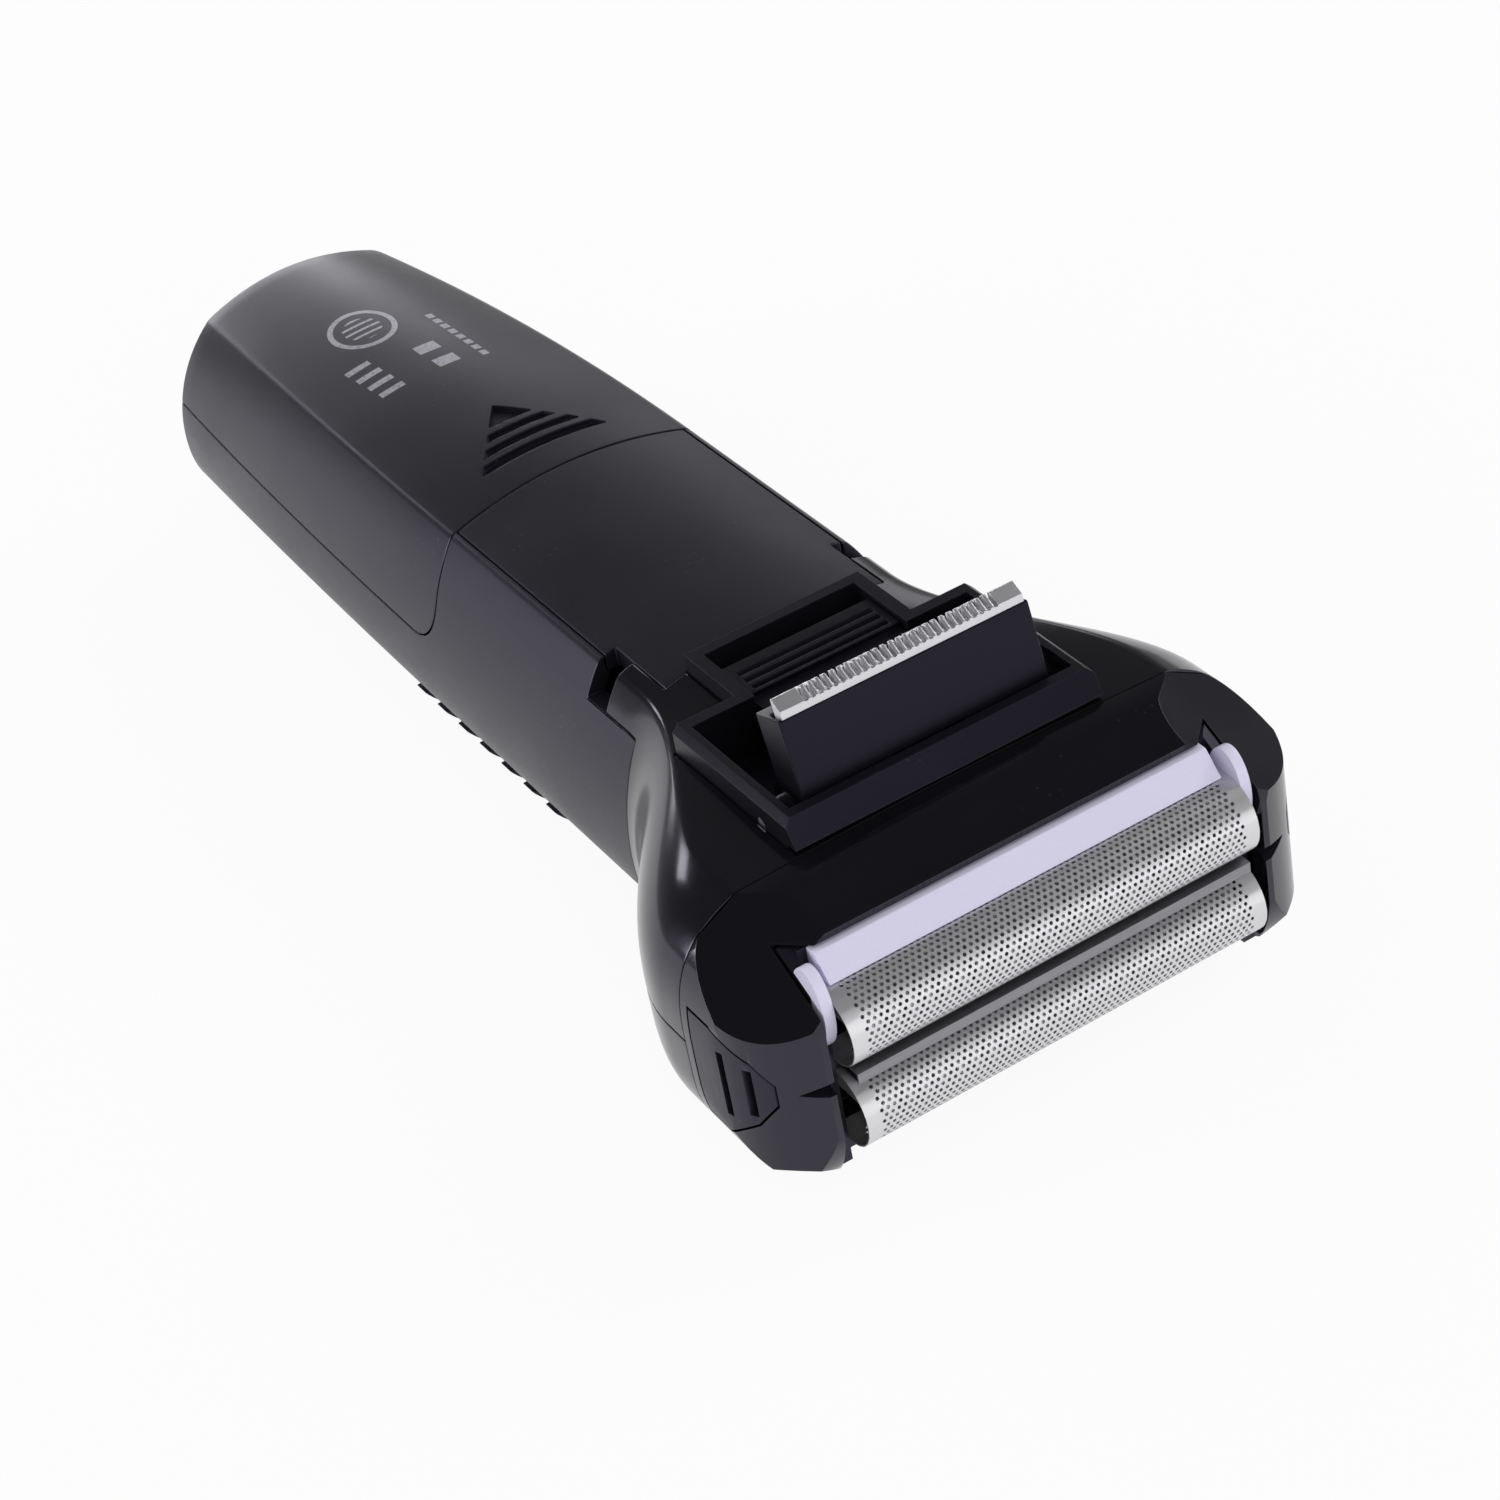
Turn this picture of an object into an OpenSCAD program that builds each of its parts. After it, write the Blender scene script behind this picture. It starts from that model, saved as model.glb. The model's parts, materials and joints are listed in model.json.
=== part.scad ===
// Foil shaver, lying on its front: +X across the head, -Y towards the foils, +Z out of the back.

/* [Handle] */
// Length of the handle from the head seam to the base end
handle_len = 110; // [106:1:134]
// Widest width of the handle
handle_w = 38; // [34:0.5:42]
// Widest width at the base end
base_w = 35.4; // [32:0.5:40]
// Width between the two creases of the back
crease_w = 28.4; // [25:0.5:30]
// Width between the creases at the base end
base_crease_w = 22; // [19:0.5:25]
// Height of the creases above the front face
back_z = 28; // [26:0.5:33]
// Height of the creases at the base end
base_back_z = 24.7; // [23:0.5:28]
// Rise of the back between its creases
back_bulge = 2.4; // [1.5:0.1:3]
// Wall of the handle and head shells
wall = 1.8; // [1.4:0.1:2.2]
// Height of the side seam of the battery cover
split_z = 16; // [14:0.5:18]

/* [Head] */
// Length of the head base from the handle seam to the cap seam
head_len = 30; // [28:0.5:35]
// Width of the head at the cap seam
head_w = 61.6; // [56:0.5:72]
// Flat width of the head's back at the cap seam
head_crease_w = 46.6; // [42:0.5:50]
// Depth of the cap from its seam to its cheeks
cap_len = 12.6; // [11.5:0.1:14]

/* [Foils and cutters] */
// Distance from the cap seam to the crown of the foils
foil_reach = 14.25; // [13.5:0.05:15]
// Length of each foil
foil_len = 43.6; // [37:0.2:46]
// Radius of the crown of each foil
foil_r = 3.9; // [3.5:0.05:4.1]
// Distance between the crowns of the two foils
foil_pitch = 9.3; // [9:0.1:10]
// Thickness of the foil sheet
foil_t = 0.25; // [0.2:0.01:0.3]
// Gap between a foil and the cutter under it
cutter_gap = 0.3; // [0.2:0.05:0.5]
// Blades on each cutter
cutter_blades = 22; // [14:1:26]
// Travel of the foils when pressed
float_travel = 1; // [0.5:0.1:1.2]
// Side to side travel of the cutters, each way
swing = 1.2; // [0.8:0.1:1.3]

/* [Pop-up trimmer] */
// Width of the trimmer's comb blade
comb_w = 25.8; // [22:0.2:27]
// Length of the carrier from its hinge to the comb's tips
comb_reach = 11.1; // [10:0.1:12]
// Teeth of the comb
comb_teeth = 27; // [19:1:31]
// Radius of the carrier's hinge barrel
barrel_r = 3; // [2.8:0.1:3.2]
// Angle of the open carrier above the bay floor
open_angle = 75; // [65:1:80]
// Height of the trimmer platform above the front face
deck_z = 31.2; // [30.5:0.1:32]
// Width of the trimmer bay
bay_w = 30.4; // [29:0.2:33]
// Length of the trimmer bay
bay_len = 16.6; // [16:0.1:18]
// Width of the slider
slider_w = 16.8; // [14:0.2:18]
// Travel of the slider
slider_travel = 2.4; // [2:0.1:3]

/* [Drive and power] */
// Diameter of the motor can
motor_d = 20; // [18:0.2:21]
// Length of the motor can
motor_len = 28; // [24:0.5:30]
// Diameter of the motor shaft
shaft_d = 2; // [1.5:0.1:2.4]
// Diameter of each battery cell
cell_d = 14.2; // [10:0.1:14.5]
// Length of each battery cell
cell_len = 50; // [44:0.5:50.5]
// Diameter of the power button
button_d = 13; // [10:0.2:14]
// Travel of the power button
button_travel = 0.8; // [0.5:0.1:1]
// Diameter of the charging jack's bore
jack_d = 3.6; // [3:0.1:4.5]
// Depth of the charging jack's bore
jack_depth = 8; // [7:0.5:9]

/* [Hidden] */

$fn = 48;
seam = 0.12;      // gap at a seam between two fixed pieces
run = 0.3;        // gap between pieces that move past each other
pin_gap = 0.05;   // radial clearance of a pin in its bore
fit = 0.02;       // radial clearance of a fixed round piece in its seat
total_len = handle_len + head_len + foil_reach;
base_y = total_len / 2;
neck_y = base_y - handle_len;
seam_y = neck_y - head_len;
tip_y = -total_len / 2;
cover_y = neck_y + 40;
mid_z = back_z / 2;

// ---- outline of the body ----
flare_len = head_len - 1;
base_round = 0.9;
head_bulge = 0.5;
widest_z = 12;
base_widest_z = 11;

function mix(a, b, t) = a + (b - a) * t;
function smooth(t) = let (s = min(max(t, 0), 1)) s * s * (3 - 2 * s);
function flare(y) = smooth((neck_y + 2 - y) / flare_len);
function taper(y) = pow(max(0, (y - cover_y) / (base_y - cover_y)), 2);
function half_w(y) = mix(mix(handle_w, base_w, taper(y)), head_w, flare(y)) / 2;
function crease_x(y) = mix(mix(crease_w, base_crease_w, taper(y)), head_crease_w, flare(y)) / 2;
function crease_z(y) = mix(back_z, base_back_z, taper(y));
function bulge(y) = mix(back_bulge, head_bulge, flare(y));
function wide_z(y) = mix(mix(widest_z, base_widest_z, taper(y)), mid_z, flare(y));
function square_up(y) = mix(2, 3.5, flare(y));
function square_down(y) = mix(2.5, 3.5, flare(y));

// One half of the body's section at y, set in by d, from the middle of the back to the bottom
function half_ring(y, d) =
    let (w = half_w(y), c = crease_x(y), wz = wide_z(y), up = square_up(y), dn = square_down(y),
         ratio = pow(1 - pow(c / w, up), 1 / up), h = (crease_z(y) - wz) / ratio,
         cx = (w - d) * pow(1 - pow(ratio, up), 1 / up), cz = wz + (h - d) * ratio,
         rise = crease_z(y) + bulge(y) - d - cz, a0 = asin(pow(ratio, up / 2)))
    concat([for (i = [0 : 6]) let (t = i / 7) [cx * t, y, cz + rise * (1 - t * t)]],
        [for (i = [0 : 6]) let (a = a0 * (1 - i / 7))
            [(w - d) * pow(cos(a), 2 / up), y, wz + (h - d) * pow(sin(a), 2 / up)]],
        [for (i = [0 : 9]) let (a = 90 * i / 10)
            [(w - d) * pow(cos(a), 2 / dn), y, wz - (wz - d) * pow(sin(a), 2 / dn)]],
        [[0, y, d]]);
function ring(y, d = 0) = let (h = half_ring(y, d), n = len(h))
    concat(h, [for (i = [n - 2 : -1 : 1]) [-h[i][0], h[i][1], h[i][2]]]);

// Skin through a list of rings that run towards +Y
module loft(rings) {
    n = len(rings[0]);
    m = len(rings);
    points = [for (r = rings) for (p = r) p];
    faces = concat([[for (j = [0 : n - 1]) j]], [[for (j = [n - 1 : -1 : 0]) (m - 1) * n + j]],
        [for (i = [0 : m - 2]) for (j = [0 : n - 1]) let (k = (j + 1) % n)
            [i * n + j, (i + 1) * n + j, (i + 1) * n + k]],
        [for (i = [0 : m - 2]) for (j = [0 : n - 1]) let (k = (j + 1) % n)
            [i * n + j, (i + 1) * n + k, i * n + k]]);
    polyhedron(points, faces, convexity = 4);
}
// Handle skin, set in by d, rounded at the base end
module handle_skin(d = 0, from = neck_y) {
    end = base_y - d;
    steps = 9;
    loft(concat([for (i = [0 : steps]) ring(mix(from, end - base_round, i / steps), d)],
        [for (a = [30, 60, 90]) ring(end - base_round * (1 - sin(a)), d + base_round * (1 - cos(a)))]));
}
// Head skin, set in by d
module head_skin(d = 0, from = seam_y, to = neck_y) {
    steps = 10;
    loft([for (i = [0 : steps]) ring(mix(from, to, i / steps), d)]);
}
// Box given by its low and high corners
module box(a, b) { translate(a) cube(b - a); }
// Extrusion along X, centred, of a shape drawn in Y and Z
module along_x(w) { rotate([90, 0, 90]) linear_extrude(w, center = true) children(); }
// Cylinder along Y from y0 to y1 at x, z
module rod_y(r, y0, y1, x = 0, z = 0) {
    translate([x, y0, z]) rotate([-90, 0, 0]) cylinder(r = r, h = y1 - y0);
}
// Cylinder along X, centred, at y, z
module rod_x(r, w, y, z, x = 0) {
    translate([x, y, z]) rotate([0, 90, 0]) cylinder(r = r, h = w, center = true);
}
module both_sides() { children(); mirror([1, 0, 0]) children(); }

// ---- back panel, cover and notches ----
panel_w = crease_w - 1.4;
panel_t = 1.6;
cover_corner = 5;
notch_y = neck_y + 9.5;
notch_len = 3.5;
notch_z = back_z - 3.4;
notch_x = crease_w / 2 - 1.9;
module cover_zone(gap = 0) {
    y = cover_y + gap;
    z = split_z + gap;
    along_x(2 * handle_w) union() {
        translate([y + cover_corner, z]) square([handle_len, 2 * back_z]);
        translate([y, z + cover_corner]) square([handle_len, 2 * back_z]);
        translate([y + cover_corner, z + cover_corner]) circle(cover_corner);
    }
}
module panel_zone(gap = 0) {
    x = panel_w / 2 + gap;
    box([-x, neck_y - 1, back_z - panel_t - gap], [x, cover_y + 1, 2 * back_z]);
}
module notch_zone(from, to, gap = 0) {
    both_sides() box([notch_x - gap, from, notch_z - gap], [handle_w, to, 2 * back_z]);
}

// ---- front face ----
button_y = neck_y + 29;
bezel_t = 1.7;
bezel_depth = 2.2;
window_y = button_y + 14;
window_r = 1.5;
grip_from = button_y - 12;
grip_to = button_y + 27;
grip_z = 6.5;
grip_t = 1;
ridge_pitch = 4.8;
ridge_h = 0.7;
button_face = 0.3;
jack_z = 9;
jack_r = 4;
jack_shoulder = 3;
shell_in = wall + 0.15;
cover_in = wall + 0.45;
module grip_zone(gap = 0) {
    box([-handle_w, grip_from - gap, -5], [handle_w, grip_to + gap, grip_z + gap]);
}

// ---- battery, board and motor places ----
tray_z = 7.4;
tray_t = 1.4;
cell_z = tray_z + tray_t + cell_d / 2 + 0.1;
cell_x = cell_d / 2 + 0.2;
cell_y = cover_y + 5;
contact_t = 0.4;
spring_len = 2.6;
tray_wall = 1.4;
tray_end = cell_y + cell_len + spring_len + contact_t;
board_t = 1.4;
board_from = button_y - 7;
board_to = cover_y + 8;
switch_h = 1.4;
motor_back = neck_y + 19;
motor_front = motor_back - motor_len;
bracket_t = 2;
boss_r = 3;
boss_len = bracket_t + 0.5;
shaft_end = motor_front - 8;
eccentric_r = 4.2;
eccentric_len = 3.5;
crank_pin_r = 0.8;
bridge_y = shaft_end - 4.2;
bridge_t = 3;
crank_pin_end = bridge_y - bridge_t + 0.6;

// ---- cap seam, bulkhead and bridge ----
bulkhead_t = 1.6;
collar_len = 4;
post_x = 11;
post_w = 3;
post_tip = tip_y + 8.1;
crown_y = tip_y + foil_r;
foil_z = [mid_z + foil_pitch / 2, mid_z - foil_pitch / 2];
blade_r = foil_r - foil_t - cutter_gap;
holder_y = crown_y + 1;
holder_back = post_tip + 2.2;
holder_hw = 3;
boot_t = 0.8;

// ---- trimmer places ----
hinge_z = deck_z - barrel_r;
bay_front = seam_y + 2.95;
bay_back = bay_front + bay_len;
hinge_y = bay_front + run + barrel_r;
frame_rim = 1.4;
frame_w = bay_w + 2 * frame_rim;
bay_floor = hinge_z - barrel_r - run;
floor_t = 1.5;
slide_gap = 0.15;
slot_back = neck_y - 1.4;
slot_floor = deck_z - 3.2;
pin_r = 0.8;
comb_t = 0.7;
comb_v = barrel_r - 1.3;
blade_t = 0.6;
blade_v = comb_v - 0.1 - blade_t;
band_u = comb_reach - 1.9;
comb_root = comb_reach - 4;
tooth_len = 1.1;
fork_w = 2.4;
finger_w = 1.8;
notch_u = 1.6;
barrel_notch = 2 * (finger_w / 2 + fork_w / 2 + swing + 0.6);

// ---- cap ----
facet_tilt = 37.7;
facet_turn = -44.4;
lower_facet = 2.6;

// ---- handle pieces ----
// Short stretch of the body's skin, set in by d
module skin_part(d, from, to) { loft([for (i = [0 : 4]) ring(mix(from, to, i / 4), d)]); }
module grip_bed() { skin_part(grip_t, grip_from - 1, grip_to + 1); }
module bezel_hole(extra = 0) {
    translate([0, button_y, -5]) cylinder(r = button_d / 2 + run + bezel_t + extra, h = 12);
}
module window_hole(extra = 0) { translate([0, window_y, -5]) cylinder(r = window_r + extra, h = 12); }
screw_y = [cell_y + 13, cell_y + 37];
screw_r = 1.1;
screw_head_r = 2.1;
boss_wall = 1.4;

module front_shell() {
    color("#2a2a30") difference() {
        union() {
            difference() {
                handle_skin();
                handle_skin(wall, neck_y - 1);
            }
            intersection() {
                handle_skin(wall / 2);
                for (y = screw_y) translate([0, y, wall / 2])
                    cylinder(r = screw_r + boss_wall, h = tray_z - wall / 2);
            }
        }
        cover_zone();
        panel_zone(seam);
        notch_zone(neck_y - 1, notch_y);
        difference() {
            grip_zone();
            grip_bed();
        }
        bezel_hole(fit);
        window_hole(fit);
        rod_y(jack_shoulder + fit, base_y - 2 * wall, base_y + 1, 0, jack_z);
        for (y = screw_y) translate([0, y, wall + 0.4]) cylinder(r = screw_r + fit, h = tray_z);
    }
}
module rear_shell() {
    color("#202024") difference() {
        intersection() {
            handle_skin();
            translate([0, seam, 0]) panel_zone();
            box([-handle_w, neck_y, 0], [handle_w, cover_y - seam, 2 * back_z]);
        }
        notch_zone(neck_y - 1, notch_y);
        frame_zone(seam);
    }
}
arrow_w = 15;
arrow_len = 11.5;
arrow_y = cover_y + 5;
arrow_depth = 0.6;
module arrow() {
    translate([0, arrow_y, 0]) linear_extrude(3 * back_z)
        polygon([[-arrow_w / 2, 0], [arrow_w / 2, 0], [0, arrow_len]]);
}
module battery_cover() {
    color("#1c1c20") difference() {
        intersection() {
            handle_skin();
            cover_zone(seam);
        }
        handle_skin(wall, neck_y);
        difference() {
            arrow();
            skin_part(arrow_depth, cover_y, cover_y + 22);
            for (i = [0 : 2]) translate([0, arrow_y + 1.6 + 2.4 * i, 0])
                box([-arrow_w, 0, 0], [arrow_w, 1.1, 3 * back_z]);
        }
    }
}
module front_grip() {
    color("#232327") difference() {
        union() {
            difference() {
                intersection() {
                    skin_part(0, grip_from - 1, grip_to + 1);
                    grip_zone(-seam);
                }
                grip_bed();
            }
            intersection() {
                difference() {
                    skin_part(-ridge_h, grip_from, grip_to);
                    skin_part(grip_t / 2, grip_from - 1, grip_to + 1);
                }
                for (y = [grip_from + 3 : ridge_pitch : grip_to - 3]) both_sides()
                    box([button_d / 2 + 3.2, y, 0], [handle_w, y + 2.2, grip_z - 0.8]);
            }
        }
        bezel_hole(seam);
        window_hole(seam);
    }
}
module power_button() {
    r = button_d / 2;
    top = tray_z - board_t - switch_h - button_travel - 0.2;
    color("#3a3a40") translate([0, button_y, 0]) difference() {
        union() {
            translate([0, 0, button_face]) cylinder(r = r, h = top - button_face);
            translate([0, 0, bezel_depth + 0.2]) cylinder(r = r + 1, h = 0.8);
        }
        translate([0, 0, button_face - 8.4]) sphere(r = 9);
    }
}
module button_bezel() {
    r = button_d / 2 + run;
    color("#a8a8b0") translate([0, button_y, 0]) difference() {
        cylinder(r = r + bezel_t, h = bezel_depth);
        translate([0, 0, -1]) cylinder(r = r, h = bezel_depth + 2);
    }
}
module led_window() {
    color("#c8d8e8") translate([0, window_y, 0.1]) cylinder(r = window_r, h = wall + 0.5);
}
module charging_jack() {
    color("#18181a") difference() {
        union() {
            rod_y(jack_r, base_y - jack_depth - 1, base_y - wall, 0, jack_z);
            rod_y(jack_shoulder, base_y - 2 * wall, base_y, 0, jack_z);
        }
        rod_y(jack_d / 2, base_y - jack_depth, base_y + 1, 0, jack_z);
    }
}

// ---- power pieces ----
module chassis() {
    wall_top = cell_z + 3;
    front = cell_y - contact_t;
    color("#4a4a50") difference() {
        intersection() {
            handle_skin(cover_in);
            union() {
                box([-handle_w, cover_y + 3, tray_z], [handle_w, tray_end + tray_wall, tray_z + tray_t]);
                box([-handle_w, front - tray_wall, tray_z], [handle_w, front, wall_top]);
                box([-handle_w, tray_end, tray_z], [handle_w, tray_end + tray_wall, wall_top]);
                both_sides()
                    box([2 * cell_x + 0.2, cell_y - 1, tray_z], [handle_w, tray_end + 1, tray_z + 4]);
            }
        }
        for (y = screw_y) translate([0, y, 0]) cylinder(r = screw_r + 0.2, h = back_z);
    }
}
nub_len = 1.2;
module battery_cells() {
    color("#5a7a4a") both_sides() {
        rod_y(cell_d / 2, cell_y + nub_len, cell_y + cell_len, cell_x, cell_z);
        rod_y(cell_d / 5, cell_y, cell_y + nub_len + 0.01, cell_x, cell_z);
    }
}
module contact_plate() {
    color("#c8c4b8") box([-cell_x - 4, cell_y - contact_t, cell_z - 4], [cell_x + 4, cell_y, cell_z + 2.5]);
}
coil_wire = 0.35;
coil_pitch = 0.75;
module contact_springs() {
    end = cell_y + cell_len;
    color("#c8c4b8") {
        box([-cell_x - 4, tray_end - contact_t, cell_z - 4], [cell_x + 4, tray_end, cell_z + 2.5]);
        both_sides() for (i = [0 : 2]) translate([cell_x, end + coil_wire + coil_pitch * i, cell_z])
            rotate([90, 0, 0]) rotate_extrude() translate([2.2 + 0.4 * i, 0]) circle(coil_wire, $fn = 16);
    }
}
module circuit_board() {
    color("#2c6a3c") box([-9, board_from, tray_z - board_t], [9, board_to, tray_z]);
}
module button_switch() {
    top = tray_z - board_t;
    color("#303034") {
        box([-3, button_y - 3, top - switch_h / 2], [3, button_y + 3, top]);
        translate([0, button_y, top - switch_h]) cylinder(r = 1.6, h = switch_h / 2);
    }
}
module indicator_led() {
    color("#e8f0d0") translate([0, window_y, wall + 0.8])
        cylinder(r = window_r - 0.1, h = tray_z - board_t - wall - 0.8);
}

// ---- motor and drive ----
deck_low = bay_floor - floor_t;
module motor_bracket() {
    color("#3c3c42") difference() {
        intersection() {
            head_skin(shell_in);
            box([-head_w, motor_front - bracket_t, 0], [head_w, motor_front, deck_low - 0.2]);
        }
        rod_y(boss_r, motor_front - bracket_t - 1, motor_front + 1, 0, mid_z);
        both_sides() box([motor_d / 2 + 2, motor_front - bracket_t - 1, mid_z - 5],
            [motor_d / 2 + 5, motor_front + 1, mid_z + 5]);
    }
}
module motor_can() {
    color("#b4b4bc") difference() {
        union() {
            rod_y(motor_d / 2, motor_front, motor_back, 0, mid_z);
            rod_y(boss_r, motor_front - boss_len, motor_front, 0, mid_z);
            rod_y(boss_r, motor_back, motor_back + 1.6, 0, mid_z);
            both_sides() box([4.6, motor_back, mid_z - 1], [5.2, motor_back + 3, mid_z + 1]);
        }
        rod_y(shaft_d / 2 + pin_gap, motor_front - boss_len - 1, motor_front + 12.5, 0, mid_z);
    }
}
module motor_shaft() { color("#d0d0d6") rod_y(shaft_d / 2, shaft_end, motor_front + 12, 0, mid_z); }
module eccentric() {
    color("#e0ddd4") {
        difference() {
            rod_y(eccentric_r, shaft_end - 0.8, shaft_end + eccentric_len, 0, mid_z);
            rod_y(shaft_d / 2 + 0.02, shaft_end, shaft_end + eccentric_len + 1, 0, mid_z);
        }
        rod_y(crank_pin_r, crank_pin_end, shaft_end - 0.8, 0, mid_z + swing);
    }
}
bridge_h = 8.2;
bridge_w = 28;
rail_r = 1;
rail_z = 6.4;
rail_y = bridge_y - bridge_t / 2;
rail_end = bridge_w / 2 + swing + 4;
rail_block = 2.5;
flange_y = seam_y - 0.8;
flange_t = 0.8;
flange_r = 2.5;
module posts(extra = 0, tip = post_tip) {
    w = post_w / 2 + extra;
    for (z = foil_z) both_sides() box([post_x - w, tip, z - w], [post_x + w, bridge_y - bridge_t, z + w]);
}
module drive_bridge() {
    slot_x = crank_pin_r + 2 * swing + 0.2;
    slot_z = crank_pin_r + swing + 0.2;
    front = bridge_y - bridge_t;
    color("#dcdcd2") difference() {
        union() {
            box([-bridge_w / 2, front, mid_z - bridge_h], [bridge_w / 2, bridge_y, mid_z + bridge_h]);
            posts();
            for (z = foil_z) both_sides() rod_y(flange_r, flange_y - flange_t, flange_y, post_x, z);
        }
        box([-slot_x, front - 1, mid_z - slot_z], [slot_x, bridge_y + 1, mid_z + slot_z]);
        for (s = [-1, 1]) rod_x(rail_r + pin_gap, 2 * head_w, rail_y, mid_z + s * rail_z);
    }
}
module bridge_rails() {
    color("#c4c4ca") for (s = [-1, 1]) rod_x(rail_r, 2 * rail_end, rail_y, mid_z + s * rail_z);
}
module bridge_boot() {
    h = foil_pitch / 2 + post_w / 2;
    w = rail_end - rail_block - 0.4;
    color("#3a3a3e") difference() {
        box([-w, seam_y + bulkhead_t, mid_z - h - 3], [w, seam_y + bulkhead_t + boot_t, mid_z + h + 3]);
        both_sides() box([post_x - post_w / 2 - swing - 0.2, seam_y, mid_z - h - 0.2],
            [post_x + post_w / 2 + swing + 0.2, seam_y + 4, mid_z + h + 0.2]);
    }
}
module cutter_springs() {
    turns = 2;
    wire = 0.2;
    color("#b8b8c0") for (z = foil_z) both_sides() for (i = [0 : turns])
        translate([post_x, flange_y - flange_t - wire - 0.45 * i, z]) rotate([90, 0, 0])
            rotate_extrude() translate([flange_r - wire, 0]) circle(wire, $fn = 16);
}

// ---- head base ----
front_zone_len = 13;
front_zone_z = 15.5;
front_corner = 6;
collar_w = foil_len + 6;
collar_h = 21.2;
collar_wall = 1.2;
module head_front_zone(gap = 0) {
    y = seam_y + front_zone_len - gap;
    z = front_zone_z - gap;
    along_x(2 * head_w) union() {
        translate([y - front_corner - 60, z - 60]) square([60, 60]);
        translate([y - 60, z - front_corner - 60]) square([60, 60]);
        translate([y - front_corner, z - front_corner]) circle(front_corner);
    }
}
module head_shell() {
    difference() {
        head_skin();
        head_skin(wall, seam_y - 1, neck_y + 1);
    }
}
module head_housing() {
    color("#2e2e34") difference() {
        union() {
            head_shell();
            intersection() {
                difference() {
                    skin_part(0, neck_y - 1, notch_y);
                    skin_part(wall + 1, neck_y - 2, notch_y + 1);
                }
                notch_zone(neck_y - 0.5, notch_y - notch_len, -seam);
            }
        }
        head_front_zone();
        frame_zone(seam);
    }
}
module head_front() {
    color("#121214") intersection() {
        head_shell();
        head_front_zone(seam);
    }
}
module head_deck() {
    h = foil_pitch / 2 + post_w / 2 + 0.4;
    x = post_w / 2 + swing + 0.4;
    cw = collar_w / 2;
    ch = collar_h / 2;
    t = collar_wall;
    color("#26262a") difference() {
        union() {
            intersection() {
                head_skin(shell_in, seam_y - 0.001, neck_y);
                box([-head_w, seam_y, 0], [head_w, seam_y + bulkhead_t, 2 * back_z]);
            }
            difference() {
                box([-cw, seam_y - collar_len, mid_z - ch], [cw, seam_y, mid_z + ch]);
                box([-cw + t, seam_y - collar_len - 1, mid_z - ch + t], [cw - t, seam_y + 1, mid_z + ch - t]);
            }
            both_sides() for (s = [-1, 1])
                box([rail_end - rail_block, seam_y + 0.5, mid_z + s * rail_z - 2],
                    [rail_end + 0.5, rail_y + 2, mid_z + s * rail_z + 2]);
        }
        both_sides()
            box([post_x - x, seam_y - 1, mid_z - h], [post_x + x, seam_y + bulkhead_t + 0.01, mid_z + h]);
        for (s = [-1, 1]) rod_x(rail_r + 0.02, 2 * rail_end, rail_y, mid_z + s * rail_z);
        both_sides() rod_y(screw_r + 0.05, seam_y - 1, seam_y + bulkhead_t + 1, deck_screw_x, mid_z);
    }
}
deck_screw_x = 21.5;

// ---- pop-up trimmer ----
module frame_zone(gap = 0) {
    w = frame_w / 2 + gap;
    s = slider_w / 2 + frame_rim + gap;
    box([-w, seam_y + bulkhead_t + 0.2 - gap, deck_low - gap], [w, bay_back + frame_rim + gap, 2 * back_z]);
    box([-s, bay_back, slot_floor - floor_t - gap], [s, slot_back + frame_rim + gap, 2 * back_z]);
}
module trimmer_frame() {
    front = seam_y + bulkhead_t + 0.2;
    s = slider_w / 2;
    f = finger_w / 2 + swing + run;
    lip = 0.6;
    color("#1e1e22") difference() {
        union() {
            intersection() {
                frame_zone();
                translate([0, 0, deck_z - 100]) cube([200, 400, 200], center = true);
            }
            along_x(frame_w) polygon([[front, back_z + lip], [seam_y + 0.35, back_z + lip],
                [bay_front - 1.1, deck_z], [bay_front, deck_z], [bay_front, back_z + lip]]);
        }
        box([-bay_w / 2, bay_front, bay_floor], [bay_w / 2, bay_back, 2 * back_z]);
        box([-s, bay_back - 1, slot_floor], [s, slot_back, 2 * back_z]);
        box([-s - 0.75, bay_back - 1, slot_floor], [s + 0.75, slot_back, slot_floor + 1.2]);
        rod_x(pin_r + 0.02, frame_w + 2, hinge_y, hinge_z);
        box([-f, finger_from - 0.4, 0], [f, finger_to + 0.35, bay_floor + 1]);
        both_sides() translate([frame_w / 2, 0, deck_z]) rotate([0, 45, 0])
            cube([1, 400, 1], center = true);
    }
}
slider_len = 9.6;
slider_back = slot_back - slider_travel - slide_gap;
module trimmer_slider() {
    s = slider_w / 2 - slide_gap;
    y0 = slider_back - slider_len;
    top = deck_z - 0.5;
    color("#26262a") difference() {
        union() {
            box([-s, y0, slot_floor + slide_gap], [s, slider_back, top]);
            box([-s - 0.75, y0, slot_floor + slide_gap], [s + 0.75, slider_back, slot_floor + 1.05]);
        }
        for (i = [0 : 3]) translate([0, slider_back - 2.2 - 2 * i, 0])
            box([-s + 1, 0, top - 0.5], [s - 1, 0.9, top + 1]);
    }
}
module carrier_place() { translate([0, hinge_y, hinge_z]) rotate([open_angle, 0, 0]) children(); }
carrier_w = comb_w + 0.8;
carrier_back = 1.4;
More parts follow.
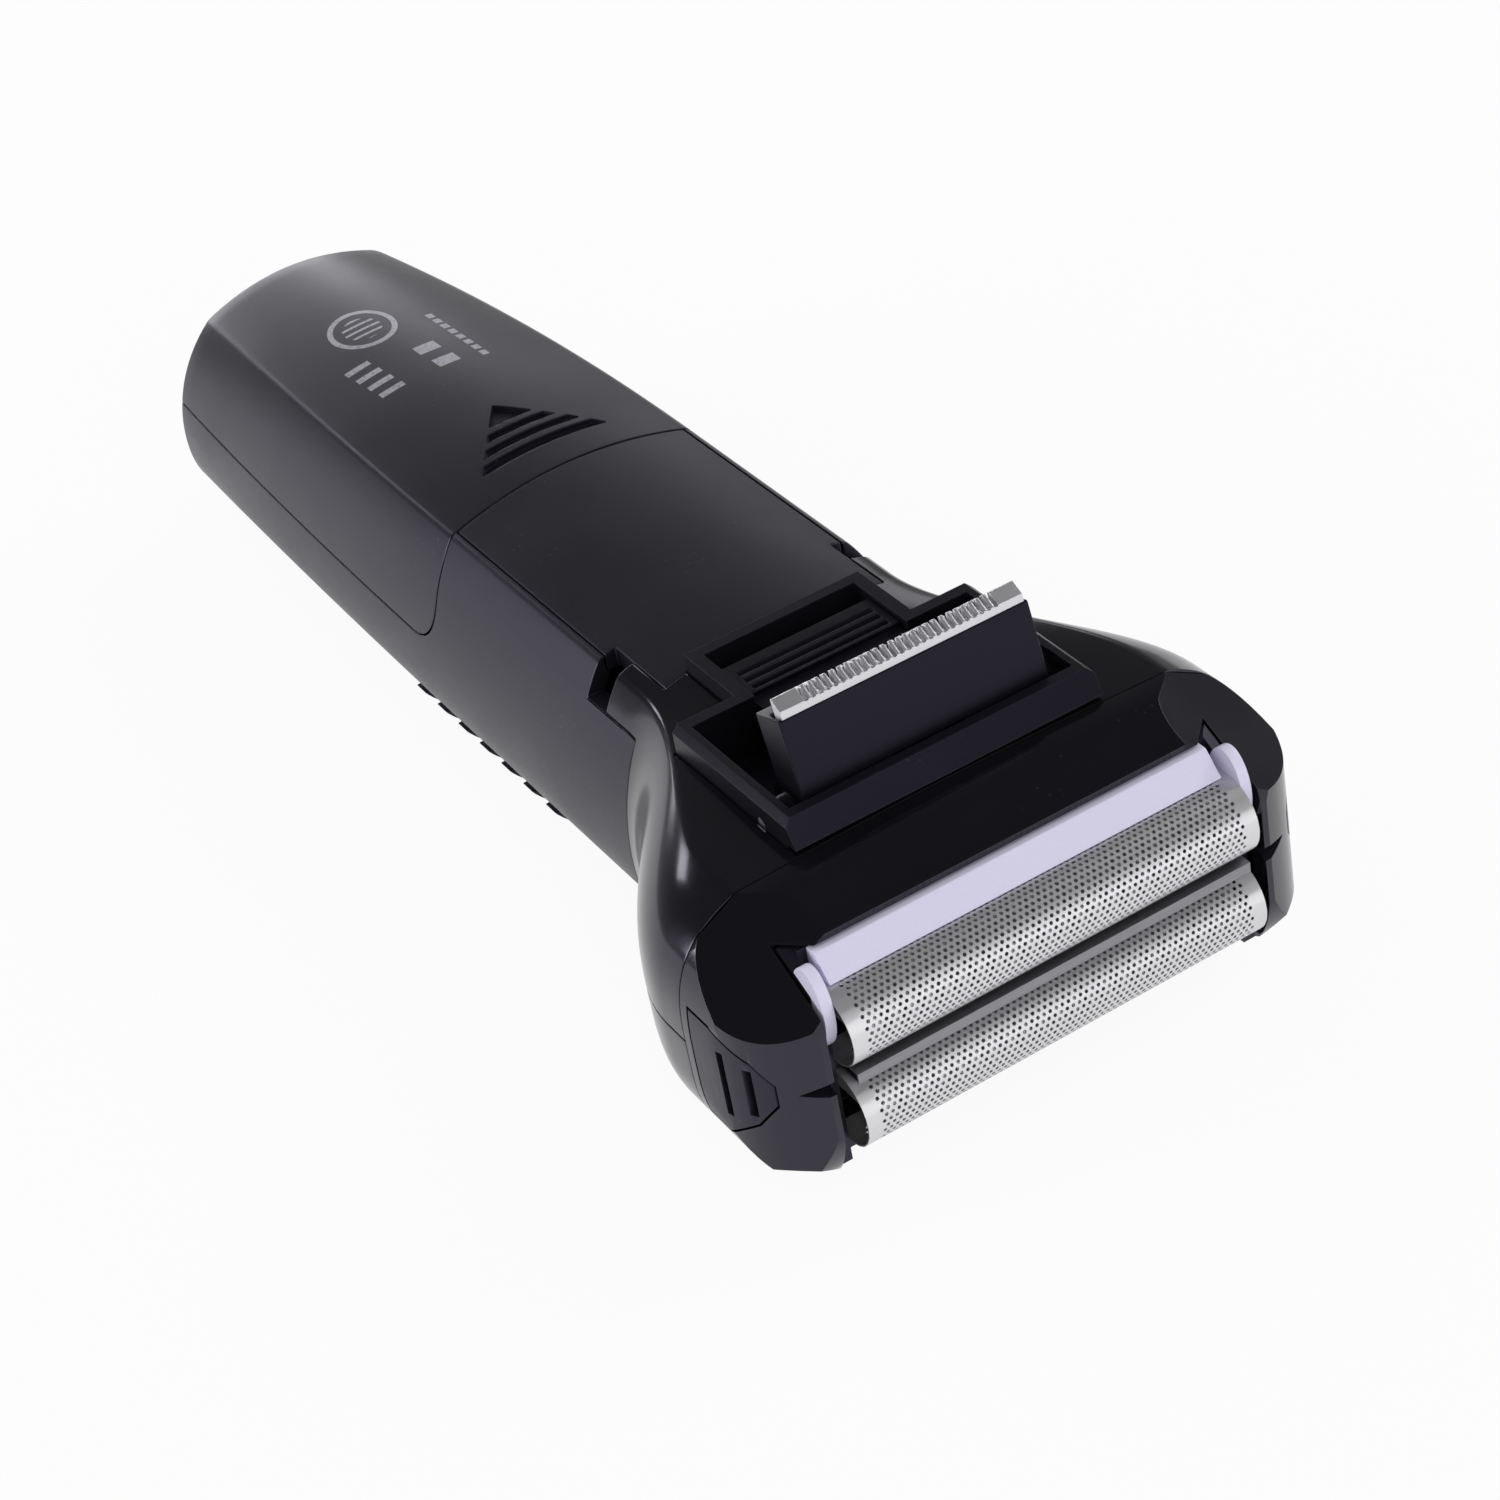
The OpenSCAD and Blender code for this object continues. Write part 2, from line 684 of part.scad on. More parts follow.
module trimmer_carrier() {
    top = comb_reach - 1.8;
    pocket = comb_w / 2 + 0.02;
    color("#18181b") carrier_place() difference() {
        union() {
            box([-carrier_w / 2, 0, -carrier_back], [carrier_w / 2, top, barrel_r]);
            rod_x(barrel_r, carrier_w, 0, 0);
            rod_x(pin_r + 0.9, bay_w - 2 * run, 0, 0);
        }
        rod_x(pin_r + pin_gap, bay_w + 2, 0, 0);
        box([-pocket, comb_root - 0.02, comb_v - 0.02], [pocket, top + 1, comb_v + comb_t + 0.02]);
        box([-pocket, comb_root - 0.8, blade_v - 0.1], [pocket, top + 1, comb_v]);
        box([-barrel_notch / 2, notch_u - 0.1, blade_v - 0.1], [barrel_notch / 2, comb_root, comb_v]);
        box([-barrel_notch / 2, -2 * barrel_r, -2 * barrel_r], [barrel_notch / 2, notch_u, 2 * barrel_r]);
    }
}
module trimmer_pin() { color("#c8c8ce") rod_x(pin_r, frame_w - 0.4, hinge_y, hinge_z); }
module teeth_gaps(w, count, from, to) {
    pitch = w / count;
    for (i = [0 : count - 1]) translate([(i - (count - 1) / 2) * pitch, 0, 0])
        box([-pitch / 4, from, -5], [pitch / 4, to, 5]);
}
comb_end = 2.4;
module trimmer_comb() {
    top = comb_v + comb_t;
    band = band_u + 0.1;
    color("#dcdce2") carrier_place() difference() {
        along_x(comb_w) polygon([[comb_root, comb_v], [comb_root, top], [band, top], [band, barrel_r],
            [comb_reach - 1, barrel_r], [comb_reach, comb_v + 0.25], [comb_reach, comb_v]]);
        teeth_gaps(comb_w - 2 * comb_end, comb_teeth, comb_reach - tooth_len, comb_reach + 1);
    }
}
module trimmer_blade() {
    w = comb_w - 2 * swing - 0.8;
    fork = finger_w / 2 + 0.1;
    color("#c0c0c8") carrier_place() difference() {
        union() {
            box([-w / 2, comb_root - 0.5, blade_v], [w / 2, comb_reach - 0.3, blade_v + blade_t]);
            box([-fork - fork_w / 2, -2, blade_v], [fork + fork_w / 2, comb_root, blade_v + blade_t]);
        }
        box([-fork, -3, 0], [fork, -0.3, 5]);
        teeth_gaps(w - 1, comb_teeth - 3, comb_reach - tooth_len - 0.2, comb_reach + 1);
    }
}
finger_from = hinge_y - 2.35;
finger_to = hinge_y - 1.2;
finger_top = hinge_z - 0.9;
module trimmer_arm() {
    front = bridge_y - bridge_t;
    top = mid_z + bridge_h;
    color("#a8a8b0") {
        box([-finger_w / 2, finger_from, top - 3], [finger_w / 2, finger_to, finger_top]);
        box([-3, min(finger_from, front - 1), top - 3], [3, front, top - 1.5]);
    }
}

// ---- cutters and foils ----
cutter_w = foil_len - 2 * swing - 2;
module holder(z) {
    x = cutter_w / 2 - 0.5;
    p = post_w / 2 + 0.15;
    color("#e4e4dc") difference() {
        box([-x, holder_y, z - holder_hw], [x, holder_back, z + holder_hw]);
        both_sides() box([post_x - p, post_tip - float_travel - 0.25, z - p],
            [post_x + p, holder_back + 1, z + p]);
    }
}
module holder_rear() { holder(foil_z[0]); }
module holder_front() { holder(foil_z[1]); }
module cutter(z) {
    pitch = cutter_w / cutter_blades;
    color("#b0b0b8") difference() {
        union() {
            intersection() {
                rod_x(blade_r, cutter_w, crown_y, z);
                box([-cutter_w, tip_y, 0], [cutter_w, crown_y, 2 * back_z]);
            }
            box([-cutter_w / 2, crown_y, z - blade_r], [cutter_w / 2, holder_y, z + blade_r]);
        }
        for (i = [1 : cutter_blades - 1]) translate([-cutter_w / 2 + i * pitch, 0, 0])
            box([-pitch * 0.3, tip_y, 0], [pitch * 0.3, holder_y - 0.5, 2 * back_z]);
    }
}
module cutter_rear() { cutter(foil_z[0]); }
module cutter_front() { cutter(foil_z[1]); }
guard_t = 1.1;
guard_len = 3.2;
guard_wall = 0.3;
knife_t = 0.2;
guard_tip = tip_y + 1.2;
frame_back = tip_y + 8.75;
frame_front = crown_y + 0.9;
plate_t = 1.2;
module middle_guard() {
    w = foil_len - 1;
    slot = guard_t / 2 - guard_wall;
    back = guard_tip + guard_len;
    color("#c8c8d0") difference() {
        box([-w / 2, guard_tip, mid_z - guard_t / 2], [w / 2, back, mid_z + guard_t / 2]);
        box([-w, guard_tip + guard_wall, mid_z - slot], [w, back - guard_wall, mid_z + slot]);
        teeth_gaps(w - 2, comb_teeth + 8, guard_tip - 1, guard_tip + 0.9);
    }
}
module foil(z) {
    color("#d8d8de") along_x(foil_len) translate([0, z]) difference() {
        union() {
            translate([crown_y, 0]) circle(foil_r, $fn = 96);
            translate([crown_y, -foil_r]) square([frame_front - crown_y + 1.6, 2 * foil_r]);
        }
        translate([crown_y, 0]) circle(foil_r - foil_t, $fn = 96);
        translate([crown_y, -foil_r + foil_t]) square([10, 2 * (foil_r - foil_t)]);
    }
}
module foil_rear() { foil(foil_z[0]); }
module foil_front() { foil(foil_z[1]); }
frame_h = 22;
module foil_frame() {
    x = foil_len / 2 + 0.05;
    outer = foil_z[0] + foil_r + 0.05;
    h = frame_h / 2;
    color("#141416") {
        intersection() {
            both_sides() box([x, frame_front - 0.8, mid_z - h], [x + plate_t, frame_back, mid_z + h]);
            translate([0, run, 0]) cap_outer();
        }
        box([-x, frame_front + 0.1, 2 * mid_z - outer - 1.7], [x, frame_back, 2 * mid_z - outer]);
        box([-x, frame_front + 2.4, outer], [x, frame_back, mid_z + h]);
        mid = foil_pitch / 2 - foil_r - 0.03;
        box([-x, guard_tip + guard_len, mid_z - mid], [x, frame_back, mid_z + mid]);
    }
}
module guard_bar() {
    outer = foil_z[0] + foil_r + 0.05;
    top = mid_z + frame_h / 2;
    color("#e6e2f2") {
        along_x(foil_len - 1.6) polygon([[tip_y + 5.9, top], [crown_y, outer + 0.15],
            [crown_y + 0.1, outer], [frame_front + 2.4, outer], [frame_front + 2.4, top]]);
        both_sides() intersection() {
            rod_x(3.4, 1, crown_y + 1.7, foil_z[0] + 0.4, foil_len / 2 + 0.05 + plate_t / 2);
            box([0, tip_y, 0], [head_w, frame_front - 0.8, 2 * back_z]);
        }
    }
}

// ---- cap ----
cap_front_w = 15.2;
cap_profile_len = 12.9;
middle_len = 13.8;
cheek_notch = 1.3;
middle_front = tip_y + 6.45;
web_x = collar_w / 2 + run;
web_t = 0.7;
pocket_x = web_x + web_t;
release_travel = 0.8;
leaf_t = 0.35;
release_in = pocket_x + leaf_t + release_travel + 0.05;
module cap_outer() {
    n = 12;
    plan = [for (i = [0 : n]) let (d = cap_len * i / n)
        [head_w / 2 * pow(1 - pow(d / cap_front_w, 3.2), 1 / 3.2), seam_y - d]];
    side = [for (i = [0 : n]) let (d = cap_len * i / n)
        [seam_y - d, mid_z * pow(1 - pow(d / cap_profile_len, 3), 1 / 3) + head_bulge * (1 - i / n)]];
    head = ring(seam_y);
    difference() {
        intersection() {
            translate([0, 0, -5]) linear_extrude(2 * back_z)
                polygon(concat(plan, [for (i = [n : -1 : 0]) [-plan[i][0], plan[i][1]]]));
            translate([0, 0, mid_z]) along_x(2 * head_w)
                polygon(concat(side, [for (i = [n : -1 : 0]) [side[i][0], -side[i][1]]]));
            translate([0, seam_y, 0]) rotate([90, 0, 0]) linear_extrude(2 * cap_len, center = true)
                polygon([for (p = head) [p[0], p[2]]]);
        }
        for (flip = [0, 1]) both_sides()
            translate([0, 0, flip * (2 * mid_z - lower_facet)]) mirror([0, 0, flip])
                translate([head_crease_w / 2, seam_y, back_z]) rotate([0, facet_tilt, facet_turn])
                    translate([-40, -40, 0]) cube([80, 80, 40]);
    }
}
shield_half = [[0, 6.2], [-3.6, 6.2], [-7.4, 3.6], [-9, 1.2]];
module shield(gap = 0) {
    y = seam_y - 1.2 - gap;
    k = 1 - gap / 5;
    translate([0, 0, mid_z]) along_x(2 * head_w)
        polygon(concat([for (p = shield_half) [y + p[0] * k, p[1] * k]],
            [for (i = [3 : -1 : 0]) [y + shield_half[i][0] * k, -shield_half[i][1] * k]]));
}
module foil_cap() {
    x = foil_len / 2 + 0.05 + plate_t + run;
    h = frame_h / 2 + run;
    ch = collar_h / 2 + run;
    color("#0e0e10") difference() {
        cap_outer();
        box([-head_w, seam_y - seam, -5], [head_w, seam_y + 1, 2 * back_z]);
        box([-x, tip_y, mid_z - h], [x, seam_y + 1, mid_z + h]);
        box([-web_x, seam_y - collar_len - 0.4, mid_z - ch], [web_x, seam_y + 1, mid_z + ch]);
        difference() {
            box([-x, tip_y, -5], [x, seam_y + 1, 2 * back_z]);
            translate([0, 0, mid_z]) along_x(2 * x + 1) polygon([for (a = [0 : 7.5 : 180])
                [seam_y - middle_len * sin(a), (mid_z + head_bulge) * cos(a)]]);
            box([-x, seam_y - 0.01, -5], [x, seam_y + 1, 2 * back_z]);
        }
        box([-x, tip_y, -5], [x, middle_front, 2 * back_z]);
        both_sides() intersection() {
            shield();
            box([pocket_x, tip_y, 0], [head_w, seam_y + 1, 2 * back_z]);
        }
        both_sides() translate([x, seam_y - cap_len, mid_z]) rotate([0, 90, 0])
            linear_extrude(head_w) polygon([[0, cheek_notch], [-cheek_notch, -1], [cheek_notch, -1]]);
    }
}
module release_button() {
    color("#1a1a1e") difference() {
        intersection() {
            cap_outer();
            shield(0.25);
            box([release_in, tip_y, 0], [head_w, seam_y, 2 * back_z]);
        }
        for (i = [0, 1]) box([head_w / 2 - 1.5 - i, seam_y - 6 - 2.6 * i, mid_z - 3.6 + i],
            [head_w, seam_y - 5.2 - 2.6 * i, mid_z + 3.6 - i]);
    }
}
module release_right() { release_button(); }
module release_left() { mirror([1, 0, 0]) release_button(); }
module release_springs() {
    color("#b0b0b4") both_sides()
        box([pocket_x, seam_y - 8, mid_z - 1.5], [pocket_x + leaf_t, seam_y - 2.5, mid_z + 1.5]);
}

// ---- moving knife between the foils, and fasteners ----
module middle_blade() {
    w = foil_len - 2 * swing - 2;
    color("#a0a0a8") box([-w / 2, guard_tip + guard_wall + 0.15, mid_z - knife_t / 2],
        [w / 2, guard_tip + guard_len - guard_wall - 0.15, mid_z + knife_t / 2]);
}
module screw(len) {
    difference() {
        union() {
            cylinder(r = screw_r, h = len);
            translate([0, 0, len]) cylinder(r = screw_head_r, h = 1.2);
        }
        for (a = [0, 90]) rotate([0, 0, a]) translate([-1.3, -0.25, len + 0.6]) cube([2.6, 0.5, 1]);
    }
}
module housing_screws() {
    len = tray_z + tray_t - wall - 1;
    color("#9a9aa2") for (y = screw_y) translate([0, y, wall + 1]) screw(len);
}
module deck_screws() {
    len = bulkhead_t + 0.8;
    color("#9a9aa2") both_sides() translate([deck_screw_x, seam_y + len, mid_z]) rotate([90, 0, 0])
        screw(len);
}

front_shell();
rear_shell();
battery_cover();
front_grip();
power_button();
button_bezel();
led_window();
charging_jack();
chassis();
battery_cells();
contact_plate();
contact_springs();
circuit_board();
button_switch();
indicator_led();
motor_bracket();
motor_can();
motor_shaft();
eccentric();
drive_bridge();
bridge_rails();
bridge_boot();
head_housing();
head_front();
head_deck();
trimmer_frame();
trimmer_slider();
trimmer_carrier();
trimmer_pin();
trimmer_comb();
trimmer_blade();
trimmer_arm();
cutter_springs();
holder_rear();
holder_front();
cutter_rear();
cutter_front();
middle_guard();
middle_blade();
foil_frame();
foil_rear();
foil_front();
guard_bar();
foil_cap();
release_left();
release_right();
release_springs();
housing_screws();
deck_screws();
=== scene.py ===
"""Foil shaver lying on its front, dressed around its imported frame."""

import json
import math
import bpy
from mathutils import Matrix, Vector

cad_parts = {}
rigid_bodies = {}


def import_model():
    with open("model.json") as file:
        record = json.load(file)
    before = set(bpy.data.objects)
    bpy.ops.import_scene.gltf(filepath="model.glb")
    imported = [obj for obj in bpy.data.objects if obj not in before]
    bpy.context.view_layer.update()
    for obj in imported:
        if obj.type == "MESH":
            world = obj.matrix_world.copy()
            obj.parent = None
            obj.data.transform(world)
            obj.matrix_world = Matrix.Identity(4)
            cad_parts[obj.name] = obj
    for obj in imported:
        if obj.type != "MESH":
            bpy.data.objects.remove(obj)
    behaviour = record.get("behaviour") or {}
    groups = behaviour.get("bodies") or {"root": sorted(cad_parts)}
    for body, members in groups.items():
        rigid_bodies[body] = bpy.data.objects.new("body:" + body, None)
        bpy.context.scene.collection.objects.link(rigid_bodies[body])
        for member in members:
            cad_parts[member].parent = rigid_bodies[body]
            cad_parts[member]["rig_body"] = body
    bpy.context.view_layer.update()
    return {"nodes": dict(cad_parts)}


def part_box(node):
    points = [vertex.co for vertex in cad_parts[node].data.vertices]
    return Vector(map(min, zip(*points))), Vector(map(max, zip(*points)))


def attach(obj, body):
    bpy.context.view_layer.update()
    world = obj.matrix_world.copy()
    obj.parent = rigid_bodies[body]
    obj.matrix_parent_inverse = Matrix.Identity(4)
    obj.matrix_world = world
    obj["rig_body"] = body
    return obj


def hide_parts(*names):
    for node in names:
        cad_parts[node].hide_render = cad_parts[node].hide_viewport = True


bl_info = {
    "name": "Foil Shaver",
    "version": (1, 0, 0),
    "blender": (4, 5, 0),
    "location": "View3D > Sidebar > Shaver",
    "description": "Builds the shells, foils, trimmer and finishes of a cordless foil shaver",
    "category": "Object",
}

import bmesh
import bpy
import numpy as np
from bpy.props import FloatProperty, FloatVectorProperty, IntProperty, PointerProperty
from bpy.types import Operator, Panel, PropertyGroup
from mathutils import Matrix, Vector
from mathutils.bvhtree import BVHTree
from mathutils.interpolate import poly_3d_calc

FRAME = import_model()
MM = 0.001


def low(node):
    """Lowest corner of a frame node, in millimetres."""
    return np.array(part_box(node)[0]) / MM


def high(node):
    """Highest corner of a frame node, in millimetres."""
    return np.array(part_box(node)[1]) / MM


# ---- places of the body, in millimetres, from the frame ----
BASE_Y = high("front_shell")[1]
NECK_Y = low("front_shell")[1]
SEAM_Y = low("head_housing")[1]
TIP_Y = low("foil_rear")[1]
HEAD_W = 2 * high("head_housing")[0]
HANDLE_W = 2 * high("front_shell")[0]
BASE_W = 35.4
CREASE_W = 28.4
BASE_CREASE_W = 22.0
HEAD_CREASE_W = 46.6
BACK_Z = 28.0
BASE_BACK_Z = 24.7
BACK_BULGE = 2.4
HEAD_BULGE = 0.5
MID_Z = BACK_Z / 2
WALL = 1.8
SEAM = 0.12
WIDE_Z = 12.0
BASE_WIDE_Z = 11.0
UPPER_POWER = 2.0
LOWER_POWER = 2.5
HEAD_POWER = 3.5
COVER_Y = NECK_Y + 40
FLARE_LEN = NECK_Y - SEAM_Y - 1
BASE_ROUND = 0.9
SPLIT_Z = 16.0
CAP_LEN = 12.6
BUTTON_Y = NECK_Y + 29
WINDOW_Y = BUTTON_Y + 14
GRIP = (BUTTON_Y - 12, BUTTON_Y + 27)
GRIP_Z = 6.5
GRIP_T = 1.0
PANEL_W = CREASE_W - 1.4
PANEL_T = 1.6
NOTCH_Y = NECK_Y + 9.5
NOTCH_LEN = 3.5
NOTCH_Z = BACK_Z - 3.4
NOTCH_X = CREASE_W / 2 - 1.9
BEZEL_HOLE_R = 8.52
GRIP_BEZEL_R = 8.64
WINDOW_HOLE_R = 1.52
GRIP_WINDOW_R = 1.64
JACK_HOLE_R = 3.02
JACK_Z = 9.0
BAR_W = 2.2
BAR_STEP = 4.8
BAR_INNER_X = 6.5 + 3.2
RIDGE_H = 0.45
RIM_T = 1.4
SLIDE_X = 8.4
BAY_START = 2.95
BAY_LEN = 16.6
HEAD_FRONT_LEN = 13.0
HEAD_FRONT_Z = 15.5
FAR = 200.0
BELOW = -5


# ---- properties ----
class ShaverSizes(PropertyGroup):
    crease_round: FloatProperty(
        name="Crease rounding", description="Rounding of the two long creases of the back",
        default=0.0005, min=0.0001, max=0.002, unit="LENGTH", precision=4)
    edge_round: FloatProperty(
        name="Edge rounding", description="Rounding of the moulded edges of the plastic pieces",
        default=0.00015, min=0.00002, max=0.001, unit="LENGTH", precision=5)
    metal_round: FloatProperty(
        name="Metal edge rounding", description="Rounding of the edges of the metal pieces",
        default=0.00005, min=0.00001, max=0.0005, unit="LENGTH", precision=5)
    hole_pitch: FloatProperty(
        name="Hole pitch", description="Distance between the holes of a foil",
        default=0.00066, min=0.0004, max=0.002, unit="LENGTH", precision=5)
    hole_width: FloatProperty(
        name="Hole width", description="Width of each hole of a foil",
        default=0.00040, min=0.0002, max=0.0015, unit="LENGTH", precision=5)
    foil_sheet: FloatProperty(
        name="Foil thickness", description="Thickness of the foil sheet",
        default=0.00012, min=0.00005, max=0.00025, unit="LENGTH", precision=5)
    foil_margin: FloatProperty(
        name="Foil margin", description="Plain strip at each end of a foil",
        default=0.0013, min=0.0003, max=0.004, unit="LENGTH", precision=4)


class ShaverColours(PropertyGroup):
    satin: FloatVectorProperty(
        name="Handle plastic", description="Colour of the satin handle shells",
        default=(0.0075, 0.0070, 0.0100), size=3, min=0, max=1, subtype="COLOR")
    gloss: FloatVectorProperty(
        name="Head plastic", description="Colour of the polished head and cap",
        default=(0.0035, 0.0033, 0.0045), size=3, min=0, max=1, subtype="COLOR")
    grip: FloatVectorProperty(
        name="Grip", description="Colour of the soft grip and the power button",
        default=(0.010, 0.010, 0.012), size=3, min=0, max=1, subtype="COLOR")
    guard: FloatVectorProperty(
        name="Guard", description="Colour of the guard bar beside the foils",
        default=(0.78, 0.75, 0.93), size=3, min=0, max=1, subtype="COLOR")
    steel: FloatVectorProperty(
        name="Steel", description="Colour of the foils and blades",
        default=(0.87, 0.86, 0.90), size=3, min=0, max=1, subtype="COLOR")
    ivory: FloatVectorProperty(
        name="Drive plastic", description="Colour of the drive bridge and cutter holders",
        default=(0.62, 0.60, 0.53), size=3, min=0, max=1, subtype="COLOR")
    marks: FloatVectorProperty(
        name="Printed marks", description="Colour of the plain printed marks on the cover",
        default=(0.42, 0.42, 0.46), size=3, min=0, max=1, subtype="COLOR")


class ShaverStage(PropertyGroup):
    lens: FloatProperty(
        name="Lens", description="Focal length of the camera on a 36 mm sensor",
        default=84.0, min=20, max=300, unit="CAMERA")
    floor_size: FloatProperty(
        name="Floor size", description="Length of each side of the floor",
        default=6.0, min=1, max=20, unit="LENGTH")
    key: FloatProperty(
        name="Key light", description="Power of the main softbox", default=2.2, min=0, max=50,
        unit="POWER")
    fill: FloatProperty(
        name="Fill light", description="Power of the softbox on the other side", default=2.3,
        min=0, max=50, unit="POWER")
    rim: FloatProperty(
        name="Rim light", description="Power of the low strip light behind the base",
        default=1.1, min=0, max=50, unit="POWER")
    sheen: FloatProperty(
        name="Sheen light", description="Power of the weak softbox that shows in the back",
        default=0.16, min=0, max=50, unit="POWER")
    back: FloatProperty(
        name="Back light", description="Power of the small lamp that shows on the shoulder",
        default=0.22, min=0, max=50, unit="POWER")
    low: FloatProperty(
        name="Low light", description="Power of the low softbox that shows in the comb",
        default=0.35, min=0, max=50, unit="POWER")
    ambient: FloatProperty(
        name="Ambient level", description="Strength of the soft light from all round",
        default=0.50, min=0, max=2)
    # These samples find the edges that are lightened, partly as wear and partly as a painted
    # highlight.
    samples_round: IntProperty(
        name="Edge samples", description="Samples used to find worn edges", default=4, min=1,
        max=16)


def sizes():
    return bpy.context.scene.shaver_sizes


def colours():
    return bpy.context.scene.shaver_colours


# ---- body outline ----
def mix(a, b, t):
    return a + (b - a) * t


def smooth(t):
    t = min(max(t, 0.0), 1.0)
    return t * t * (3 - 2 * t)


def flare(y):
    return smooth((NECK_Y + 2 - y) / FLARE_LEN)


def taper(y):
    return max(0.0, (y - COVER_Y) / (BASE_Y - COVER_Y)) ** 2


BULGE_STEPS = 12
CREASE_STEPS = 6
UPPER_STEPS = 18
LOWER_STEPS = 26
HANDLE_STEPS = 44
ROUND_STEPS = 6
HEAD_STEPS = 28


def half_ring(y, inset, rounding):
    """One half of the body's section at y, set in by inset, from the back's middle downwards."""
    w = mix(mix(HANDLE_W, BASE_W, taper(y)), HEAD_W, flare(y)) / 2
    c = mix(mix(CREASE_W, BASE_CREASE_W, taper(y)), HEAD_CREASE_W, flare(y)) / 2
    crease_z = mix(BACK_Z, BASE_BACK_Z, taper(y))
    wide = mix(mix(WIDE_Z, BASE_WIDE_Z, taper(y)), MID_Z, flare(y))
    up = mix(UPPER_POWER, HEAD_POWER, flare(y))
    down = mix(LOWER_POWER, HEAD_POWER, flare(y))
    ratio = (1 - (c / w) ** up) ** (1 / up)
    h = (crease_z - wide) / ratio
    cx = (w - inset) * (1 - ratio**up) ** (1 / up)
    cz = wide + (h - inset) * ratio
    rise = crease_z + mix(BACK_BULGE, HEAD_BULGE, flare(y)) - inset - cz
    a0 = math.asin(ratio ** (up / 2))

    def top(t):
        return np.array([cx * t, y, cz + rise * (1 - t * t)])

    def side(a):
        x = (w - inset) * max(math.cos(a), 0.0) ** (2 / up)
        return np.array([x, y, wide + (h - inset) * math.sin(a) ** (2 / up)])

    crease = top(1.0)
    t1 = 1 - rounding / cx
    a1 = a0
    while np.linalg.norm(side(a1) - crease) < rounding:
        a1 -= 0.002
    before, after = top(t1), side(a1)
    points = [top(t1 * i / BULGE_STEPS) for i in range(BULGE_STEPS)]
    for i in range(CREASE_STEPS + 1):
        t = i / CREASE_STEPS
        points.append(before * (1 - t) ** 2 + crease * 2 * t * (1 - t) + after * t * t)
    points += [side(a1 * (1 - i / UPPER_STEPS)) for i in range(1, UPPER_STEPS)]
    for i in range(LOWER_STEPS):
        a = math.pi / 2 * i / LOWER_STEPS
        x = (w - inset) * math.cos(a) ** (2 / down)
        points.append(np.array([x, y, wide - (wide - inset) * math.sin(a) ** (2 / down)]))
    points.append(np.array([0.0, y, inset]))
    return points


def ring(y, inset=0.0):
    """Whole section of the body at y, set in by inset."""
    half = half_ring(y, inset, sizes().crease_round / MM)
    return half + [p * np.array([-1, 1, 1]) for p in half[-2:0:-1]]


# ---- mesh helpers, all in millimetres ----
def mesh_object(name, points, faces):
    mesh = bpy.data.meshes.new(name)
    mesh.from_pydata([tuple(float(v) * MM for v in p) for p in points], [], faces)
    bm = bmesh.new()
    bm.from_mesh(mesh)
    bmesh.ops.recalc_face_normals(bm, faces=bm.faces)
    bm.to_mesh(mesh)
    bm.free()
    obj = bpy.data.objects.new(name, mesh)
    bpy.context.scene.collection.objects.link(obj)
    return obj


def loft(name, rings):
    n, m = len(rings[0]), len(rings)
    points = [p for r in rings for p in r]
    faces = [tuple(range(n)), tuple((m - 1) * n + j for j in range(n))[::-1]]
    for i in range(m - 1):
        for j in range(n):
            k = (j + 1) % n
            faces.append((i * n + j, (i + 1) * n + j, (i + 1) * n + k, i * n + k))
    return mesh_object(name, points, faces)


def skin_part(name, inset, start, end, steps=8):
    """Short stretch of the body's skin, set in by inset."""
    return loft(name, [ring(mix(start, end, i / steps), inset) for i in range(steps + 1)])


def handle_skin(name, inset=0.0, start=None):
    end = BASE_Y - inset
    start = NECK_Y if start is None else start
    rings = [ring(mix(start, end - BASE_ROUND, i / HANDLE_STEPS), inset)
             for i in range(HANDLE_STEPS + 1)]
    for i in range(1, ROUND_STEPS + 1):
        a = math.pi / 2 * i / ROUND_STEPS
        rings.append(ring(end - BASE_ROUND * (1 - math.sin(a)),
                          inset + BASE_ROUND * (1 - math.cos(a))))
    return loft(name, rings)


def head_skin(name, inset=0.0, start=None, end=None):
    start = SEAM_Y if start is None else start
    end = NECK_Y if end is None else end
    return skin_part(name, inset, start, end, HEAD_STEPS)


def block(name, lo, hi):
    x0, y0, z0 = lo
    x1, y1, z1 = hi
    points = [(x, y, z) for x in (x0, x1) for y in (y0, y1) for z in (z0, z1)]
    faces = [(0, 1, 3, 2), (4, 6, 7, 5), (0, 4, 5, 1), (2, 3, 7, 6), (0, 2, 6, 4), (1, 5, 7, 3)]
    return mesh_object(name, points, faces)


def prism(name, outline, axis, lo, hi):
    """Solid over an outline drawn across an axis: 0 for Y and Z, 1 for X and Z, 2 for X and Y."""
    def place(p, level):
        q = list(p)
        q.insert(axis, level)
        return tuple(q)
    n = len(outline)
    points = [place(p, lo) for p in outline] + [place(p, hi) for p in outline]
    faces = [tuple(range(n)), tuple(range(2 * n - 1, n - 1, -1))]
    faces += [(j, (j + 1) % n, n + (j + 1) % n, n + j) for j in range(n)]
    return mesh_object(name, points, faces)


def outward(side, near, far=FAR):
    """Ends along X of a stretch on one side of the body, the lower end first."""
    return sorted((side * near, side * far))


def circle_points(radius, count=72, centre=(0.0, 0.0)):
    return [(centre[0] + radius * math.cos(2 * math.pi * i / count),
             centre[1] + radius * math.sin(2 * math.pi * i / count)) for i in range(count)]


def arc_points(centre, radius, start, end, count=14):
    return [(centre[0] + radius * math.cos(math.radians(mix(start, end, i / count))),
             centre[1] + radius * math.sin(math.radians(mix(start, end, i / count))))
            for i in range(count + 1)]


